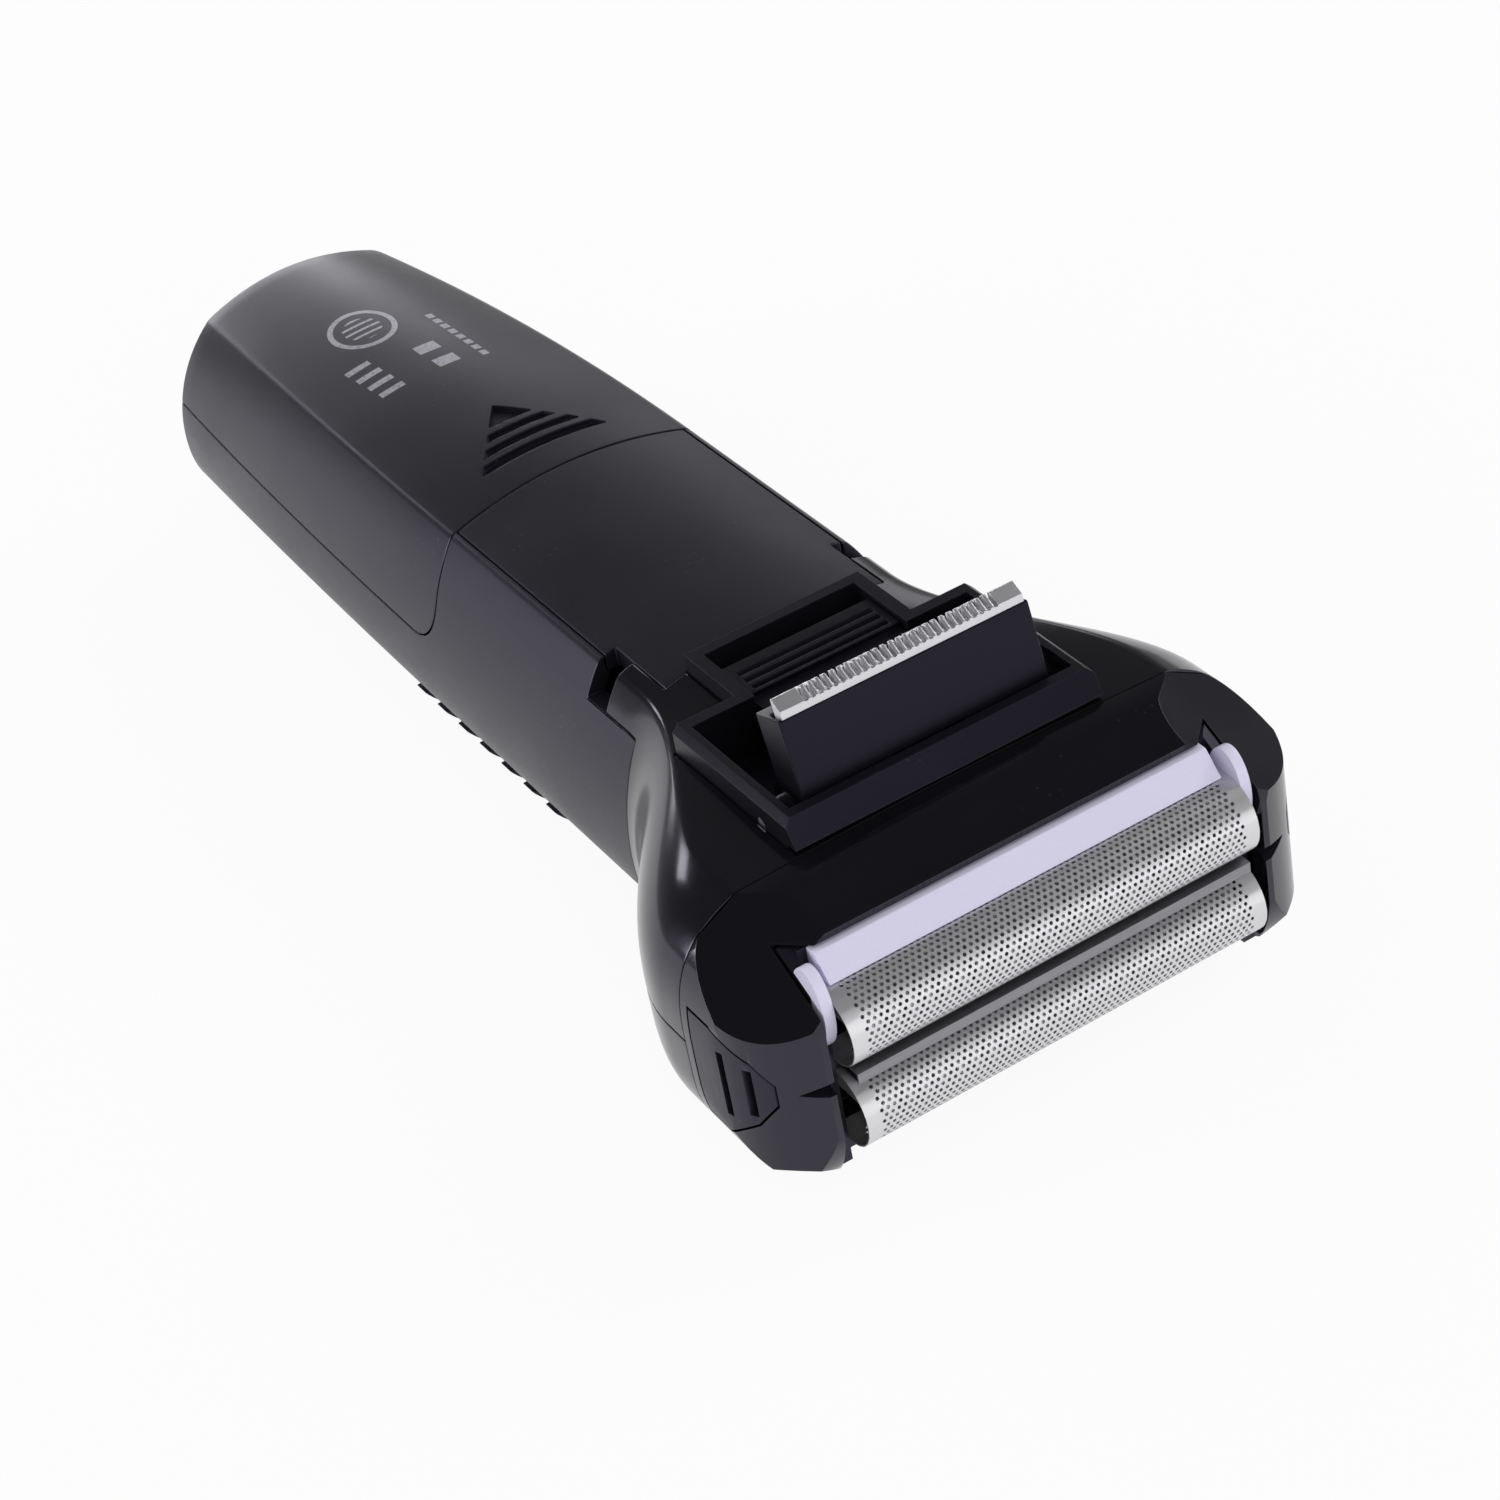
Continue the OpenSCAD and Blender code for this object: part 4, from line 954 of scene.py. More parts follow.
class SHAVER_OT_stage(Operator):
    """Lay the pale floor, hang the softboxes and set the camera"""
    bl_idname = "shaver.stage"
    bl_label = "Stage"

    def execute(self, context):
        stage = context.scene.shaver_stage
        half = stage.floor_size / 2
        mesh = bpy.data.meshes.new("floor")
        mesh.from_pydata([(-half, -half, 0), (half, -half, 0), (half, half, 0), (-half, half, 0)],
                         [], [(0, 1, 2, 3)])
        floor = bpy.data.objects.new("floor", mesh)
        context.scene.collection.objects.link(floor)
        floor.location.z = -FLOOR_DROP
        mesh.materials.append(self.floor_material())
        self.world(context, stage.ambient)
        lights = (
            ("key", (-0.70, 0.37, 0.25), (0.36, 0.26), stage.key),
            ("rim", (0.10, 0.85, 0.15), (0.5, 0.1), stage.rim),
            ("sheen", (0.45, 0.72, 0.27), (0.32, 0.16), stage.sheen),
            ("back", (-0.225, 0.765, 0.42), (0.13, 0.11), stage.back),
            ("fill", (0.85, -0.02, 0.58), (0.5, 0.4), stage.fill),
            ("low", (0.38, -0.86, 0.09), (0.4, 0.12), stage.low),
            ("front", (-0.1, -0.95, 0.45), (0.7, 0.35), stage.fill),
        )
        for name, place, size, power in lights:
            data = bpy.data.lights.new(name, "AREA")
            data.shape = "RECTANGLE"
            data.size, data.size_y = size
            data.energy = power
            lamp = bpy.data.objects.new(name, data)
            lamp.location = place
            lamp.visible_camera = False
            aim = Vector(place) - Vector((0, -0.02, 0.01))
            lamp.rotation_euler = aim.to_track_quat("Z", "Y").to_euler()
            context.scene.collection.objects.link(lamp)
        self.camera(context, stage.lens)
        context.scene.view_settings.view_transform = "Standard"
        return {"FINISHED"}

    @staticmethod
    def floor_material():
        material = bpy.data.materials.new("pale_floor")
        material.use_nodes = True
        tree = material.node_tree
        tree.nodes.clear()
        noise = add(tree, "ShaderNodeTexNoise", {"Scale": 3.0, "Detail": 2.0})
        tone = blend_colour(tree, noise.outputs["Fac"], (0.86, 0.86, 0.87, 1),
                            (0.90, 0.90, 0.91, 1))
        matte = add(tree, "ShaderNodeBsdfDiffuse", {"Color": tone})
        bright = add(tree, "ShaderNodeEmission", {"Color": (1, 1, 1, 1), "Strength": 1.0})
        path = add(tree, "ShaderNodeLightPath")
        mirror = maths(tree, "MULTIPLY", path.outputs["Is Glossy Ray"], 0.6)
        direct = maths(tree, "MULTIPLY", path.outputs["Is Camera Ray"], 0.93)
        seen = maths(tree, "MAXIMUM", mirror, direct)
        mixed = add(tree, "ShaderNodeMixShader",
                    {0: seen, 1: matte.outputs[0], 2: bright.outputs[0]})
        output = add(tree, "ShaderNodeOutputMaterial")
        tree.links.new(mixed.outputs[0], output.inputs["Surface"])
        return material

    @staticmethod
    def world(context, ambient):
        world = bpy.data.worlds.new("studio")
        context.scene.world = world
        world.use_nodes = True
        tree = world.node_tree
        tree.nodes.clear()
        path = add(tree, "ShaderNodeLightPath")
        direction = add(tree, "ShaderNodeSeparateXYZ",
                        {"Vector": add(tree, "ShaderNodeTexCoord").outputs["Generated"]})
        walls = ramp(tree, direction.outputs["Z"],
                     [(0.0, 0.4), (0.1, 0.28), (0.3, 0.17), (0.5, 0.12), (0.8, 0.09), (1.0, 0.12)])
        soft = add(tree, "ShaderNodeBackground", {"Color": (1, 1, 1, 1), "Strength": ambient})
        shown = add(tree, "ShaderNodeBackground", {"Color": walls, "Strength": 1.0})
        white = add(tree, "ShaderNodeBackground", {"Color": (1, 1, 1, 1), "Strength": 1.0})
        mirror = maths(tree, "MAXIMUM", path.outputs["Is Glossy Ray"],
                       path.outputs["Is Transmission Ray"])
        first = add(tree, "ShaderNodeMixShader",
                    {0: mirror, 1: soft.outputs[0], 2: shown.outputs[0]})
        both = add(tree, "ShaderNodeMixShader",
                   {0: path.outputs["Is Camera Ray"], 1: first.outputs[0], 2: white.outputs[0]})
        output = add(tree, "ShaderNodeOutputWorld")
        tree.links.new(both.outputs[0], output.inputs["Surface"])

    @staticmethod
    def camera(context, lens):
        data = bpy.data.cameras.new("camera")
        data.lens = lens
        data.sensor_width = 36.0
        data.clip_start = 0.02
        data.clip_end = 20.0
        camera = bpy.data.objects.new("camera", data)
        azimuth, elevation, roll = (math.radians(a) for a in CAMERA_ANGLES)
        back = Vector((math.sin(azimuth) * math.cos(elevation),
                       -math.cos(azimuth) * math.cos(elevation), math.sin(elevation)))
        right = Vector((math.cos(azimuth), math.sin(azimuth), 0))
        up = back.cross(right)
        c, s = math.cos(roll), math.sin(roll)
        turned = Matrix((c * right + s * up, c * up - s * right, back)).transposed()
        camera.matrix_world = Matrix.Translation(CAMERA_PLACE) @ turned.to_4x4()
        context.scene.collection.objects.link(camera)
        context.scene.camera = camera


class SHAVER_OT_handle(Operator):
    """Mould the front body, the back panel and the soft grip"""
    bl_idname = "shaver.handle"
    bl_label = "Handle shells"

    def execute(self, context):
        width = sizes().edge_round
        body = handle_skin("front_body")
        skin = handle_skin("skin")
        ring_cut = cut(grip_zone(), grip_bed())
        cut(body, cover_zone(), panel_zone(SEAM),
            *notch_zones(NECK_Y - 1, NOTCH_Y), ring_cut,
            *self.front_holes(BEZEL_HOLE_R, WINDOW_HOLE_R),
            prism("jack_hole", circle_points(JACK_HOLE_R, 48, (0, JACK_Z)), 1, BASE_Y - 2 * WALL,
                  BASE_Y + 1))
        finish_shell(body, skin, width, handle_skin("hollow", WALL, NECK_Y - 1))
        seat(body, satin_plastic(), "front_shell")

        panel = skin_part("back_panel", 0, NECK_Y, COVER_Y - SEAM, 20)
        skin = skin_part("skin", 0, NECK_Y, COVER_Y - SEAM, 20)
        common(panel, panel_zone(0, SEAM))
        cut(panel, *notch_zones(NECK_Y - 1, NOTCH_Y), *frame_zones(SEAM))
        finish_shell(panel, skin, width)
        seat(panel, satin_plastic(), "rear_shell")

        grip = common(skin_part("grip_pad", 0, GRIP[0] - 1, GRIP[1] + 1, 20), grip_zone(-SEAM))
        skin = skin_part("skin", 0, GRIP[0] - 1, GRIP[1] + 1, 20)
        ridges = cut(skin_part("ridges", -RIDGE_H, *GRIP, 20),
                     skin_part("under", GRIP_T / 2, GRIP[0] - 1, GRIP[1] + 1, 16))
        bars = None
        y = GRIP[0] + 3
        while y <= GRIP[1] - 3 + 1e-6:
            for side in (-1, 1):
                x0, x1 = outward(side, BAR_INNER_X, HANDLE_W)
                bar = block("bar", (x0, y, 0), (x1, y + BAR_W, GRIP_Z - 0.8))
                bars = bar if bars is None else join(bars, bar)
            y += BAR_STEP
        join(grip, common(ridges, bars))
        cut(grip, *self.front_holes(GRIP_BEZEL_R, GRIP_WINDOW_R))
        finish_shell(grip, skin, width, grip_bed())
        seat(grip, soft_plastic(), "front_grip")
        return {"FINISHED"}

    @staticmethod
    def front_holes(bezel, window):
        """Cutters for the button ring's seat and for the light window."""
        return [prism("bezel_hole", circle_points(bezel, 72, (0, BUTTON_Y)), 2, BELOW, 7),
                prism("window_hole", circle_points(window, 40, (0, WINDOW_Y)), 2, BELOW, 7)]


class SHAVER_OT_cover(Operator):
    """Mould the battery cover with its arrow and plain printed marks"""
    bl_idname = "shaver.cover"
    bl_label = "Battery cover"

    def execute(self, context):
        cover = common(handle_skin("cover"), cover_zone(SEAM))
        skin = handle_skin("skin")
        arrow_y = COVER_Y + 5
        arrow = prism("arrow", [(-7.5, arrow_y), (7.5, arrow_y), (0, arrow_y + 11.5)], 2, 0,
                      3 * BACK_Z)
        cut(arrow, skin_part("bed", 0.6, COVER_Y, COVER_Y + 22, 12))
        cut(arrow, *[block("rib", (-15, arrow_y + 1.6 + 2.4 * i, 0),
                           (15, arrow_y + 2.7 + 2.4 * i, 3 * BACK_Z)) for i in range(3)])
        cut(cover, arrow)
        finish_shell(cover, skin, sizes().edge_round, handle_skin("hollow", WALL))
        seat(cover, cover_plastic(), "battery_cover")
        return {"FINISHED"}


class SHAVER_OT_head(Operator):
    """Mould the head base with its front panel"""
    bl_idname = "shaver.head"
    bl_label = "Head base"

    def execute(self, context):
        width = sizes().edge_round
        tabs = skin_part("tabs", 0, NECK_Y - 1, NOTCH_Y, 8)
        zones = notch_zones(NECK_Y - 0.5, NOTCH_Y - NOTCH_LEN, -SEAM)
        common(tabs, join(zones[0], zones[1]))
        head = head_skin("head_base")
        join(head, tabs)
        cut(head, head_front_zone(), *frame_zones(SEAM))
        skin = skin_part("skin", 0, SEAM_Y, NOTCH_Y, 36)
        finish_shell(head, skin, width, head_skin("hollow", WALL, SEAM_Y - 1, NECK_Y + 1),
                     skin_part("under", WALL + 1, NECK_Y - 2, NOTCH_Y + 1, 8))
        seat(head, gloss_plastic(), "head_housing")

        front = head_skin("head_front_panel")
        common(front, head_front_zone(SEAM))
        finish_shell(front, head_skin("skin"), width,
                     head_skin("hollow", WALL, SEAM_Y - 1, NECK_Y + 1))
        seat(front, gloss_plastic(), "head_front")
        return {"FINISHED"}


FOIL_LEN = 43.6
PLATE_T = 1.2
RUN = 0.3
FRAME_H = 22.0
COLLAR_W = FOIL_LEN + 6
COLLAR_H = 21.2
COLLAR_CHAMFER = 0.6
CAP_STEPS = 40
PLAN_LEN, PLAN_POWER = 15.2, 3.2
SIDE_LEN, SIDE_POWER = 12.9, 3
FACET_TURN, FACET_TILT = -44.4, 37.7
LOWER_FACET = 2.6
ARCH_DEPTH = 13.8
GROOVE = 1.3
CAP_ROUND = 0.0003
FOIL_R = 3.9
GUARD_R = 3.95
BAR_END = 0.8
LOBE_Z = 16.6
BUTTON_ROUND = 0.00018


def cap_outline():
    """Whole outside of the foil cap, before its opening."""
    plan, side = [], []
    for i in range(CAP_STEPS + 1):
        d = CAP_LEN * i / CAP_STEPS
        half = HEAD_W / 2 * (1 - (d / PLAN_LEN) ** PLAN_POWER) ** (1 / PLAN_POWER)
        tall = MID_Z * (1 - (d / SIDE_LEN) ** SIDE_POWER) ** (1 / SIDE_POWER)
        plan.append((half, SEAM_Y - d))
        side.append((SEAM_Y - d, tall + HEAD_BULGE * (1 - i / CAP_STEPS)))
    cap = prism("cap_shell", [(p[0], p[2]) for p in ring(SEAM_Y)], 1, SEAM_Y - CAP_LEN,
                SEAM_Y - SEAM)
    common(cap, prism("plan", plan + [(-x, y) for x, y in plan[::-1]], 2, BELOW, 2 * BACK_Z),
           prism("side", [(y, MID_Z + z) for y, z in side]
                 + [(y, MID_Z - z) for y, z in side[::-1]], 0, -FAR, FAR))
    tilt = (Matrix.Rotation(math.radians(FACET_TURN), 4, "Z")
            @ Matrix.Rotation(math.radians(FACET_TILT), 4, "Y"))
    for flip in (0, 1):
        for side_x in (1, -1):
            facet = block("facet", (-40, -40, 0), (40, 40, 40))
            place = Matrix.Translation(Vector((HEAD_CREASE_W / 2, SEAM_Y, BACK_Z)) * MM) @ tilt
            if flip:
                place = (Matrix.Translation((0, 0, (2 * MID_Z - LOWER_FACET) * MM))
                         @ Matrix.Diagonal((1, 1, -1, 1)) @ place)
            place = Matrix.Diagonal((side_x, 1, 1, 1)) @ place
            facet.data.transform(place)
            if place.determinant() < 0:
                facet.data.flip_normals()
            cut(cap, facet)
    return cap


# half outline of a release button: distance along Y from its top, and height from the middle
SHIELD = [(0, 6.2), (-3.6, 6.2), (-7.4, 3.6), (-9, 1.2)]


def shield(x0, x1, gap=0.0):
    k = 1 - gap / 5
    y = SEAM_Y - 1.2 - gap
    outline = [(y + a * k, MID_Z + b * k) for a, b in SHIELD]
    outline += [(y + a * k, MID_Z - b * k) for a, b in SHIELD[::-1]]
    return prism("shield", outline, 0, *sorted((x0, x1)))


class SHAVER_OT_cap(Operator):
    """Mould the foil cap and its two release buttons"""
    bl_idname = "shaver.cap"
    bl_label = "Foil cap"

    def execute(self, context):
        cap = cap_outline()
        x = FOIL_LEN / 2 + 0.05 + PLATE_T + RUN
        h = FRAME_H / 2 + RUN
        web_x = COLLAR_W / 2 + RUN
        collar_h = COLLAR_H / 2 + RUN
        k = COLLAR_CHAMFER
        cut(cap, block("room", (-x, TIP_Y - 1, MID_Z - h), (x, SEAM_Y + 1, MID_Z + h)),
            prism("collar", [(a * (web_x - c), MID_Z + b * (collar_h - k + c)) for a, b, c in
                             ((1, 1, 0), (1, 1, k), (-1, 1, k), (-1, 1, 0), (-1, -1, 0),
                              (-1, -1, k), (1, -1, k), (1, -1, 0))],
                  1, SEAM_Y - 4.4, SEAM_Y + 1))
        outside = block("outside", (-x, TIP_Y - 1, BELOW), (x, SEAM_Y + 1, 2 * BACK_Z))
        arch = [(SEAM_Y - ARCH_DEPTH * math.sin(math.radians(a)),
                 MID_Z + (MID_Z + HEAD_BULGE) * math.cos(math.radians(a)))
                for a in np.linspace(0, 180, 61)]
        cut(outside, prism("arch", arch, 0, -x - 1, x + 1),
            block("behind", (-FAR, SEAM_Y - 0.01, -6), (FAR, SEAM_Y + 2, 3 * BACK_Z)))
        cut(cap, outside, block("front", (-x, TIP_Y - 1, BELOW), (x, TIP_Y + 6.45, 2 * BACK_Z)))
        pocket = web_x + 0.7
        for side in (-1, 1):
            cut(cap, shield(side * pocket, side * FAR),
                prism("groove", [(SEAM_Y - CAP_LEN - 0.01 + GROOVE, MID_Z),
                                 (SEAM_Y - CAP_LEN - 1, MID_Z - GROOVE),
                                 (SEAM_Y - CAP_LEN - 1, MID_Z + GROOVE)], 0, *outward(side, x)))
        clean(cap, 0.01, 0.3)
        round_edges(cap, CAP_ROUND, 3, 20)
        shade(cap, 34)
        seat(cap, gloss_plastic(), "foil_cap")
        for side, node in ((-1, "release_left"), (1, "release_right")):
            button = common(cap_outline(), shield(side * (pocket + 1.2), side * FAR, 0.25))
            for i in (0, 1):
                x0, x1 = outward(side, HEAD_W / 2 - 1.5 - i)
                cut(button, block("slot", (x0, SEAM_Y - 6 - 2.6 * i, MID_Z - 3.6 + i),
                                  (x1, SEAM_Y - 5.2 - 2.6 * i, MID_Z + 3.6 - i)))
            button.name = button.data.name = node.replace("release", "button")
            clean(button, 0.01, 0.3)
            round_edges(button, BUTTON_ROUND, 2, 20)
            shade(button, 34)
            seat(button, satin_plastic(), node)
        return {"FINISHED"}


def foil_points(y, z_axis, radius, arc):
    """Point of the foil's section at arc length, from the crown, of a radius around its axis."""
    quarter = math.pi / 2 * radius
    if abs(arc) <= quarter:
        a = arc / radius
        return y - radius * math.cos(a), z_axis + radius * math.sin(a)
    return y + (abs(arc) - quarter), z_axis + math.copysign(radius, arc)


def perforated_foil(name, centre_z):
    """Arched sheet with staggered rows of six-sided holes, thin walls and plain margins."""
    pitch = sizes().hole_pitch / MM
    hole = sizes().hole_width / MM / 2
    sheet = sizes().foil_sheet / MM
    margin = sizes().foil_margin / MM
    outer = (high("foil_rear")[2] - low("foil_rear")[2]) / 2
    crown = TIP_Y + outer
    leg = high("foil_rear")[1] - crown
    half_arc = math.pi / 2 * outer + leg
    row = pitch * math.sqrt(3) / 2
    rows = int((math.pi / 2 * outer + 0.4) / row)
    columns = int((FOIL_LEN - 2 * margin) / pitch)
    verts, faces, index = [], [], {}

    def vertex(u, s, layer):
        key = (round(u, 3), round(s, 3), layer)
        if key not in index:
            inner = outer - sheet * layer
            if abs(s) <= math.pi / 2 * outer:
                arc = s * inner / outer
            else:
                arc = math.copysign(math.pi / 2 * inner + abs(s) - math.pi / 2 * outer, s)
            y, z = foil_points(crown, centre_z, inner, arc)
            index[key] = len(verts)
            verts.append((u, y, z))
        return index[key]

    def quad(points):
        faces.append(tuple(vertex(u, s, 0) for u, s in points))
        faces.append(tuple(vertex(u, s, 1) for u, s in reversed(points)))

    def wall(a, b):
        faces.append((vertex(*a, 0), vertex(*a, 1), vertex(*b, 1), vertex(*b, 0)))

    side = pitch / math.sqrt(3)
    corners = [(side * math.sin(math.radians(60 * k)), side * math.cos(math.radians(60 * k)))
               for k in range(6)]
    left = -(columns * pitch) / 2
    for r in range(-rows, rows + 1):
        shift = pitch / 2 if r % 2 else 0.0
        count = columns - 1 if r % 2 else columns
        for c in range(count):
            cu, cs = left + pitch / 2 + shift + c * pitch, r * row
            out = [(cu + du, cs + ds) for du, ds in corners]
            into = [(cu + du * hole / side, cs + ds * hole / side) for du, ds in corners]
            for k in range(6):
                m = (k + 1) % 6
                quad([out[k], into[k], into[m], out[m]])
                wall(into[m], into[k])
        # half cells close the staggered rows at both ends
        if r % 2:
            for edge, sign in ((left, 1), (-left, -1)):
                near = edge + sign * pitch / 2
                quad([(edge, r * row - side), (edge, r * row + side),
                      (near, r * row + side / 2), (near, r * row - side / 2)])
    # plain strips past the last rows, along both long sides
    start = rows * row + side
    steps = 10
    levels = [mix(start, half_arc, i / steps) for i in range(steps + 1)]
    even, odd = (start, start - side / 2) if rows % 2 else (start - side / 2, start)
    zigzag = [(left + i * pitch / 2, odd if i % 2 else even) for i in range(2 * columns + 1)]
    for sign in (1, -1):
        for a, b in zip(zigzag, zigzag[1:]):
            edge = [(a[0], sign * a[1]), (b[0], sign * b[1]), (b[0], sign * start),
                    (a[0], sign * start)]
            quad([p for n, p in enumerate(edge) if p not in edge[:n]])
            for low_s, high_s in zip(levels, levels[1:]):
                quad([(a[0], sign * low_s), (b[0], sign * low_s), (b[0], sign * high_s),
                      (a[0], sign * high_s)])
            wall((a[0], sign * half_arc), (b[0], sign * half_arc))
    # end margins
    ladder = sorted({round(s, 3) for (u, s, layer) in index if abs(u - left) < 1e-3})
    for sign, edge in ((-1, left), (1, -left)):
        end_u = sign * FOIL_LEN / 2
        for lo_s, hi_s in zip(ladder, ladder[1:]):
            quad([(edge, lo_s), (end_u, lo_s), (end_u, hi_s), (edge, hi_s)][::sign])
            wall(*(((end_u, lo_s), (end_u, hi_s))[::sign]))
        for s in (ladder[0], ladder[-1]):
            wall((edge, s), (end_u, s))
    return mesh_object(name, verts, faces)


class SHAVER_OT_foils(Operator):
    """Arch the two perforated foils and dress their frame and guards"""
    bl_idname = "shaver.foils"
    bl_label = "Foils"

    def execute(self, context):
        for node, name in (("foil_rear", "foil_sheet_rear"), ("foil_front", "foil_sheet_front")):
            centre = (low(node)[2] + high(node)[2]) / 2
            sheet = perforated_foil(name, centre)
            shade(sheet, 50)
            seat(sheet, foil_steel(), node)
        soften("foil_frame", "foil_tray", satin_plastic(), sizes().edge_round / 2)
        soften("middle_guard", "middle_comb", dark_steel(), sizes().metal_round)
        strip = self.guard_strip()
        clean(strip, 0.01, 0.3)
        round_edges(strip, sizes().edge_round, 2, 24)
        shade(strip)
        seat(strip, guard_plastic(), "guard_bar")
        return {"FINISHED"}

    @staticmethod
    def guard_strip():
        """Pale bar along the rear foil, with a lobe at each of its ends."""
        lo, hi = low("guard_bar"), high("guard_bar")
        crown = TIP_Y + FOIL_R
        outer = (low("foil_rear")[2] + high("foil_rear")[2]) / 2 + GUARD_R
        bar = prism("guard_strip", [(TIP_Y + 5.9, hi[2]), (crown, outer + 0.15),
                                    (crown + 0.1, outer), (hi[1], outer), (hi[1], hi[2])], 0,
                    BAR_END - FOIL_LEN / 2, FOIL_LEN / 2 - BAR_END)
        middle, wide, tall = (lo[1] + hi[1]) / 2, (hi[1] - lo[1]) / 2, (hi[2] - LOBE_Z) / 2
        lobe = [(middle + y * wide, LOBE_Z + tall + z * tall) for y, z in circle_points(1.0, 40)]
        for side in (-1, 1):
            join(bar, prism("lobe", lobe, 0, *outward(side, FOIL_LEN / 2 + 0.02, hi[0])))
        return bar


class SHAVER_OT_cutters(Operator):
    """Finish the moving cutters and the drive that carries them"""
    bl_idname = "shaver.cutters"
    bl_label = "Cutters and drive"

    def execute(self, context):
        dress(blade_steel(), "cutter_rear", "cutter_front", "middle_blade", "motor_shaft",
              "bridge_rails", "trimmer_arm")
        dress(ivory_plastic(), "holder_rear", "holder_front", "drive_bridge", "eccentric")
        dress(plated_steel(), "cutter_springs", "release_springs")
        dress(motor_steel(), "motor_can")
        dress(inner_plastic(), "motor_bracket", "head_deck", "chassis", "button_switch")
        dress(soft_plastic(), "bridge_boot", "charging_jack")
        return {"FINISHED"}


class SHAVER_OT_trimmer(Operator):
    """Round and finish the pop-up trimmer, its bay and its slider"""
    bl_idname = "shaver.trimmer"
    bl_label = "Pop-up trimmer"

    def execute(self, context):
        plastic_round = sizes().edge_round
        soften("trimmer_frame", "bay_rim", frame_plastic(), plastic_round)
        soften("trimmer_carrier", "comb_carrier", frame_plastic(), plastic_round * 1.5)
        soften("trimmer_comb", "comb_plate", blade_steel(), sizes().metal_round)
        key = self.slide_key()
        clean(key, 0.005, 0.3)
        round_edges(key, plastic_round * 0.6, 2, 24)
        shade(key)
        seat(key, frame_plastic(), "trimmer_slider")
        dress(blade_steel(), "trimmer_blade", "trimmer_pin")
        return {"FINISHED"}

    @staticmethod
    def slide_key():
        """Sliding key with a stepped top and ribs for the finger."""
        (x0, y0, z0), (x1, y1, z1) = low("trimmer_slider"), high("trimmer_slider")
        key = join(block("slide_key", (x0 + 0.75, y0, z0), (x1 - 0.75, y1, z1)),
                   block("feet", (x0, y0, z0), (x1, y1, z0 + 0.9)))
        cut(key, block("step", (x0 - 1, y0 - 1, z1 - 0.55), (x1 + 1, y0 + 4.2, z1 + 1)))
        for i in range(3):
            y = y1 - 1.5 - 1.35 * i
            cut(key, prism("rib", [(y, z1 + 0.1), (y - 0.75, z1 + 0.1), (y - 0.55, z1 - 0.45),
                                   (y - 0.2, z1 - 0.45)], 0, x0 + 1.5, x1 - 1.5))
        return key


class SHAVER_OT_controls(Operator):
    """Finish the power button, its ring and the light window"""
    bl_idname = "shaver.controls"
    bl_label = "Controls"

    def execute(self, context):
        soften("power_button", "press_button", soft_plastic(), sizes().edge_round)
        soften("button_bezel", "button_ring", plated_steel(), sizes().edge_round)
        dress(self.window_material(), "led_window", "indicator_led")
        return {"FINISHED"}

    @staticmethod
    def window_material():
        material, tree, shader, place = new_material("light_window")
        touch = use_group(tree, handling(), Vector=place, Size=0.004)
        tint = blend_colour(tree, touch["Smudge"], (0.80, 0.88, 0.92, 1), (0.90, 0.94, 0.96, 1))
        tree.links.new(tint, shader.inputs["Base Color"])
        tree.links.new(maths(tree, "MULTIPLY_ADD", touch["Smudge"], 0.12, 0.05),
                       shader.inputs["Roughness"])
        shader.inputs["Transmission Weight"].default_value = 0.85
        return material


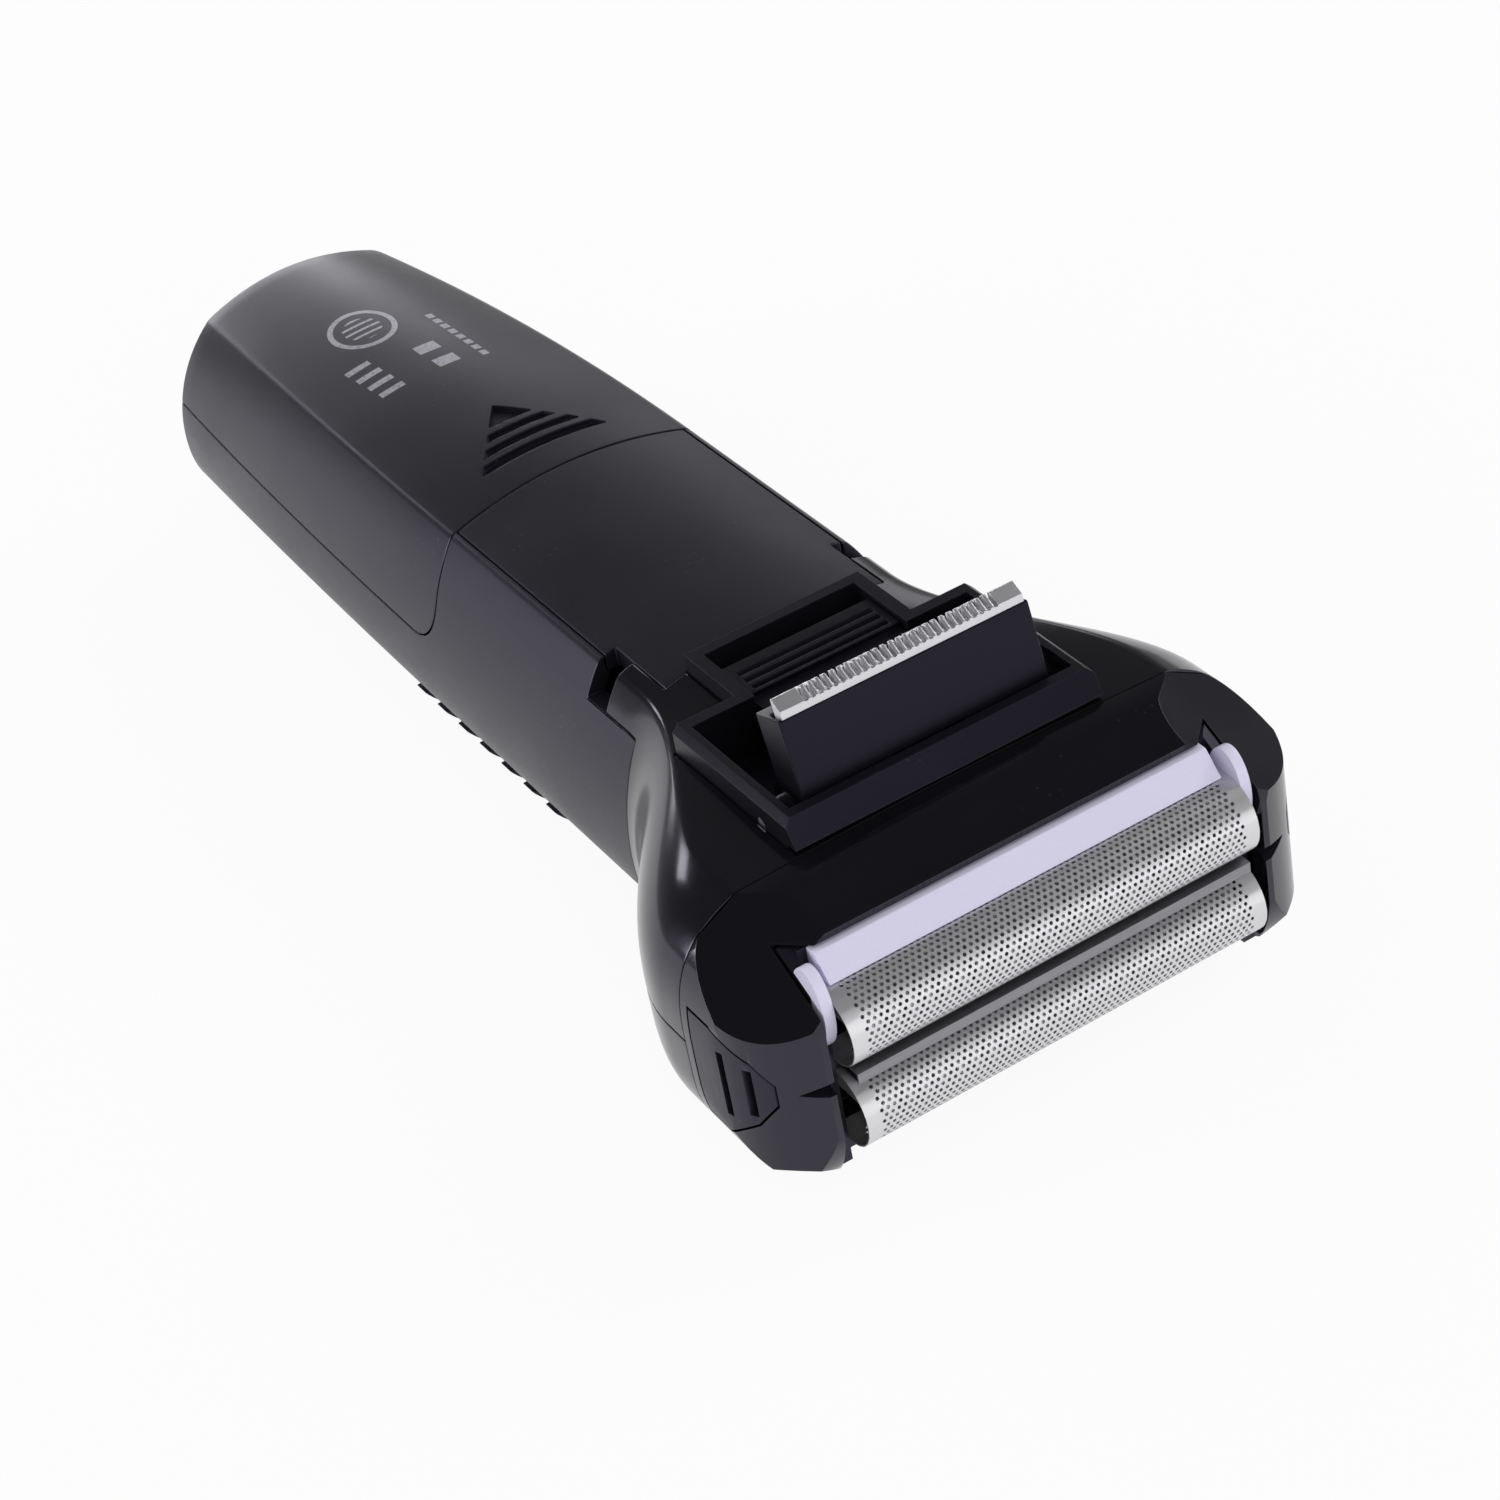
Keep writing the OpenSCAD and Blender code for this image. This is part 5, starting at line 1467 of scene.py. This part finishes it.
class SHAVER_OT_power(Operator):
    """Finish the cells, the contacts, the board and the screws"""
    bl_idname = "shaver.power"
    bl_label = "Power pieces"

    def execute(self, context):
        dress(plated_steel(), "contact_plate", "contact_springs", "housing_screws", "deck_screws")
        dress(self.cell_material(), "battery_cells")
        dress(self.board_material(), "circuit_board")
        return {"FINISHED"}

    @staticmethod
    def cell_material():
        """Shrink sleeve with a plain band and bare metal ends."""
        material, tree, shader, place = new_material("cell_sleeve")
        parts = add(tree, "ShaderNodeSeparateXYZ", {"Vector": place})
        lo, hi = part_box("battery_cells")[0][1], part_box("battery_cells")[1][1]
        along = maths(tree, "DIVIDE", maths(tree, "SUBTRACT", parts.outputs["Y"], lo), hi - lo)
        band = maths(tree, "GREATER_THAN", along, 0.72)
        bare = maths(tree, "LESS_THAN", along, 0.035)
        touch = use_group(tree, handling(), Vector=place, Size=0.01)
        base = blend_colour(tree, band, (0.05, 0.16, 0.05, 1), (0.55, 0.42, 0.10, 1))
        base = blend_colour(tree, maths(tree, "MULTIPLY", touch["Smudge"], 0.3), base,
                            (0.08, 0.2, 0.08, 1))
        base = blend_colour(tree, bare, base, (0.6, 0.6, 0.58, 1))
        tree.links.new(base, shader.inputs["Base Color"])
        tree.links.new(bare, shader.inputs["Metallic"])
        tree.links.new(maths(tree, "MULTIPLY_ADD", touch["Smudge"], 0.15, 0.25),
                       shader.inputs["Roughness"])
        return material

    @staticmethod
    def board_material():
        """Green lacquer over copper tracks."""
        material, tree, shader, place = new_material("circuit_lacquer")
        bricks = add(tree, "ShaderNodeTexBrick",
                     {"Vector": place, "Color1": (0, 0, 0, 1), "Color2": (0, 0, 0, 1),
                      "Mortar": (1, 1, 1, 1), "Scale": 160.0, "Mortar Size": 0.03})
        texture = use_group(tree, moulded_grain(), Vector=place, Grain_Size=0.0004, Depth=1.0)
        base = blend_colour(tree, bricks.outputs["Color"], (0.012, 0.09, 0.03, 1),
                            (0.04, 0.22, 0.07, 1))
        base = blend_colour(tree, maths(tree, "MULTIPLY", texture["Speckle"], 0.2), base,
                            (0.02, 0.12, 0.05, 1))
        tree.links.new(base, shader.inputs["Base Color"])
        tree.links.new(maths(tree, "MULTIPLY_ADD", texture["Speckle"], 0.1, 0.25),
                       shader.inputs["Roughness"])
        bump = add(tree, "ShaderNodeBump",
                   {"Strength": 0.4, "Distance": 0.00005, "Height": bricks.outputs["Color"]})
        tree.links.new(bump.outputs["Normal"], shader.inputs["Normal"])
        return material


STEPS = ("stage", "handle", "cover", "head", "cap", "foils", "cutters", "trimmer", "controls",
         "power")


class SHAVER_PT_panel(Panel):
    """Sizes, colours and building steps of the shaver"""
    bl_idname = "SHAVER_PT_panel"
    bl_label = "Foil shaver"
    bl_space_type = "VIEW_3D"
    bl_region_type = "UI"
    bl_category = "Shaver"

    def draw(self, context):
        for group in (context.scene.shaver_sizes, context.scene.shaver_colours,
                      context.scene.shaver_stage):
            column = self.layout.column(align=True)
            for key in group.__annotations__:
                column.prop(group, key)
        for step in STEPS:
            self.layout.operator("shaver." + step)


CLASSES = (ShaverSizes, ShaverColours, ShaverStage, SHAVER_OT_stage, SHAVER_OT_handle,
           SHAVER_OT_cover, SHAVER_OT_head, SHAVER_OT_cap, SHAVER_OT_foils, SHAVER_OT_cutters,
           SHAVER_OT_trimmer, SHAVER_OT_controls, SHAVER_OT_power, SHAVER_PT_panel)


def register():
    for cls in CLASSES:
        bpy.utils.register_class(cls)
    bpy.types.Scene.shaver_sizes = PointerProperty(type=ShaverSizes)
    bpy.types.Scene.shaver_colours = PointerProperty(type=ShaverColours)
    bpy.types.Scene.shaver_stage = PointerProperty(type=ShaverStage)


def unregister():
    del bpy.types.Scene.shaver_stage
    del bpy.types.Scene.shaver_colours
    del bpy.types.Scene.shaver_sizes
    for cls in reversed(CLASSES):
        bpy.utils.unregister_class(cls)


def main():
    register()
    for step in STEPS:
        getattr(bpy.ops.shaver, step)()


if __name__ == "__main__":
    main()
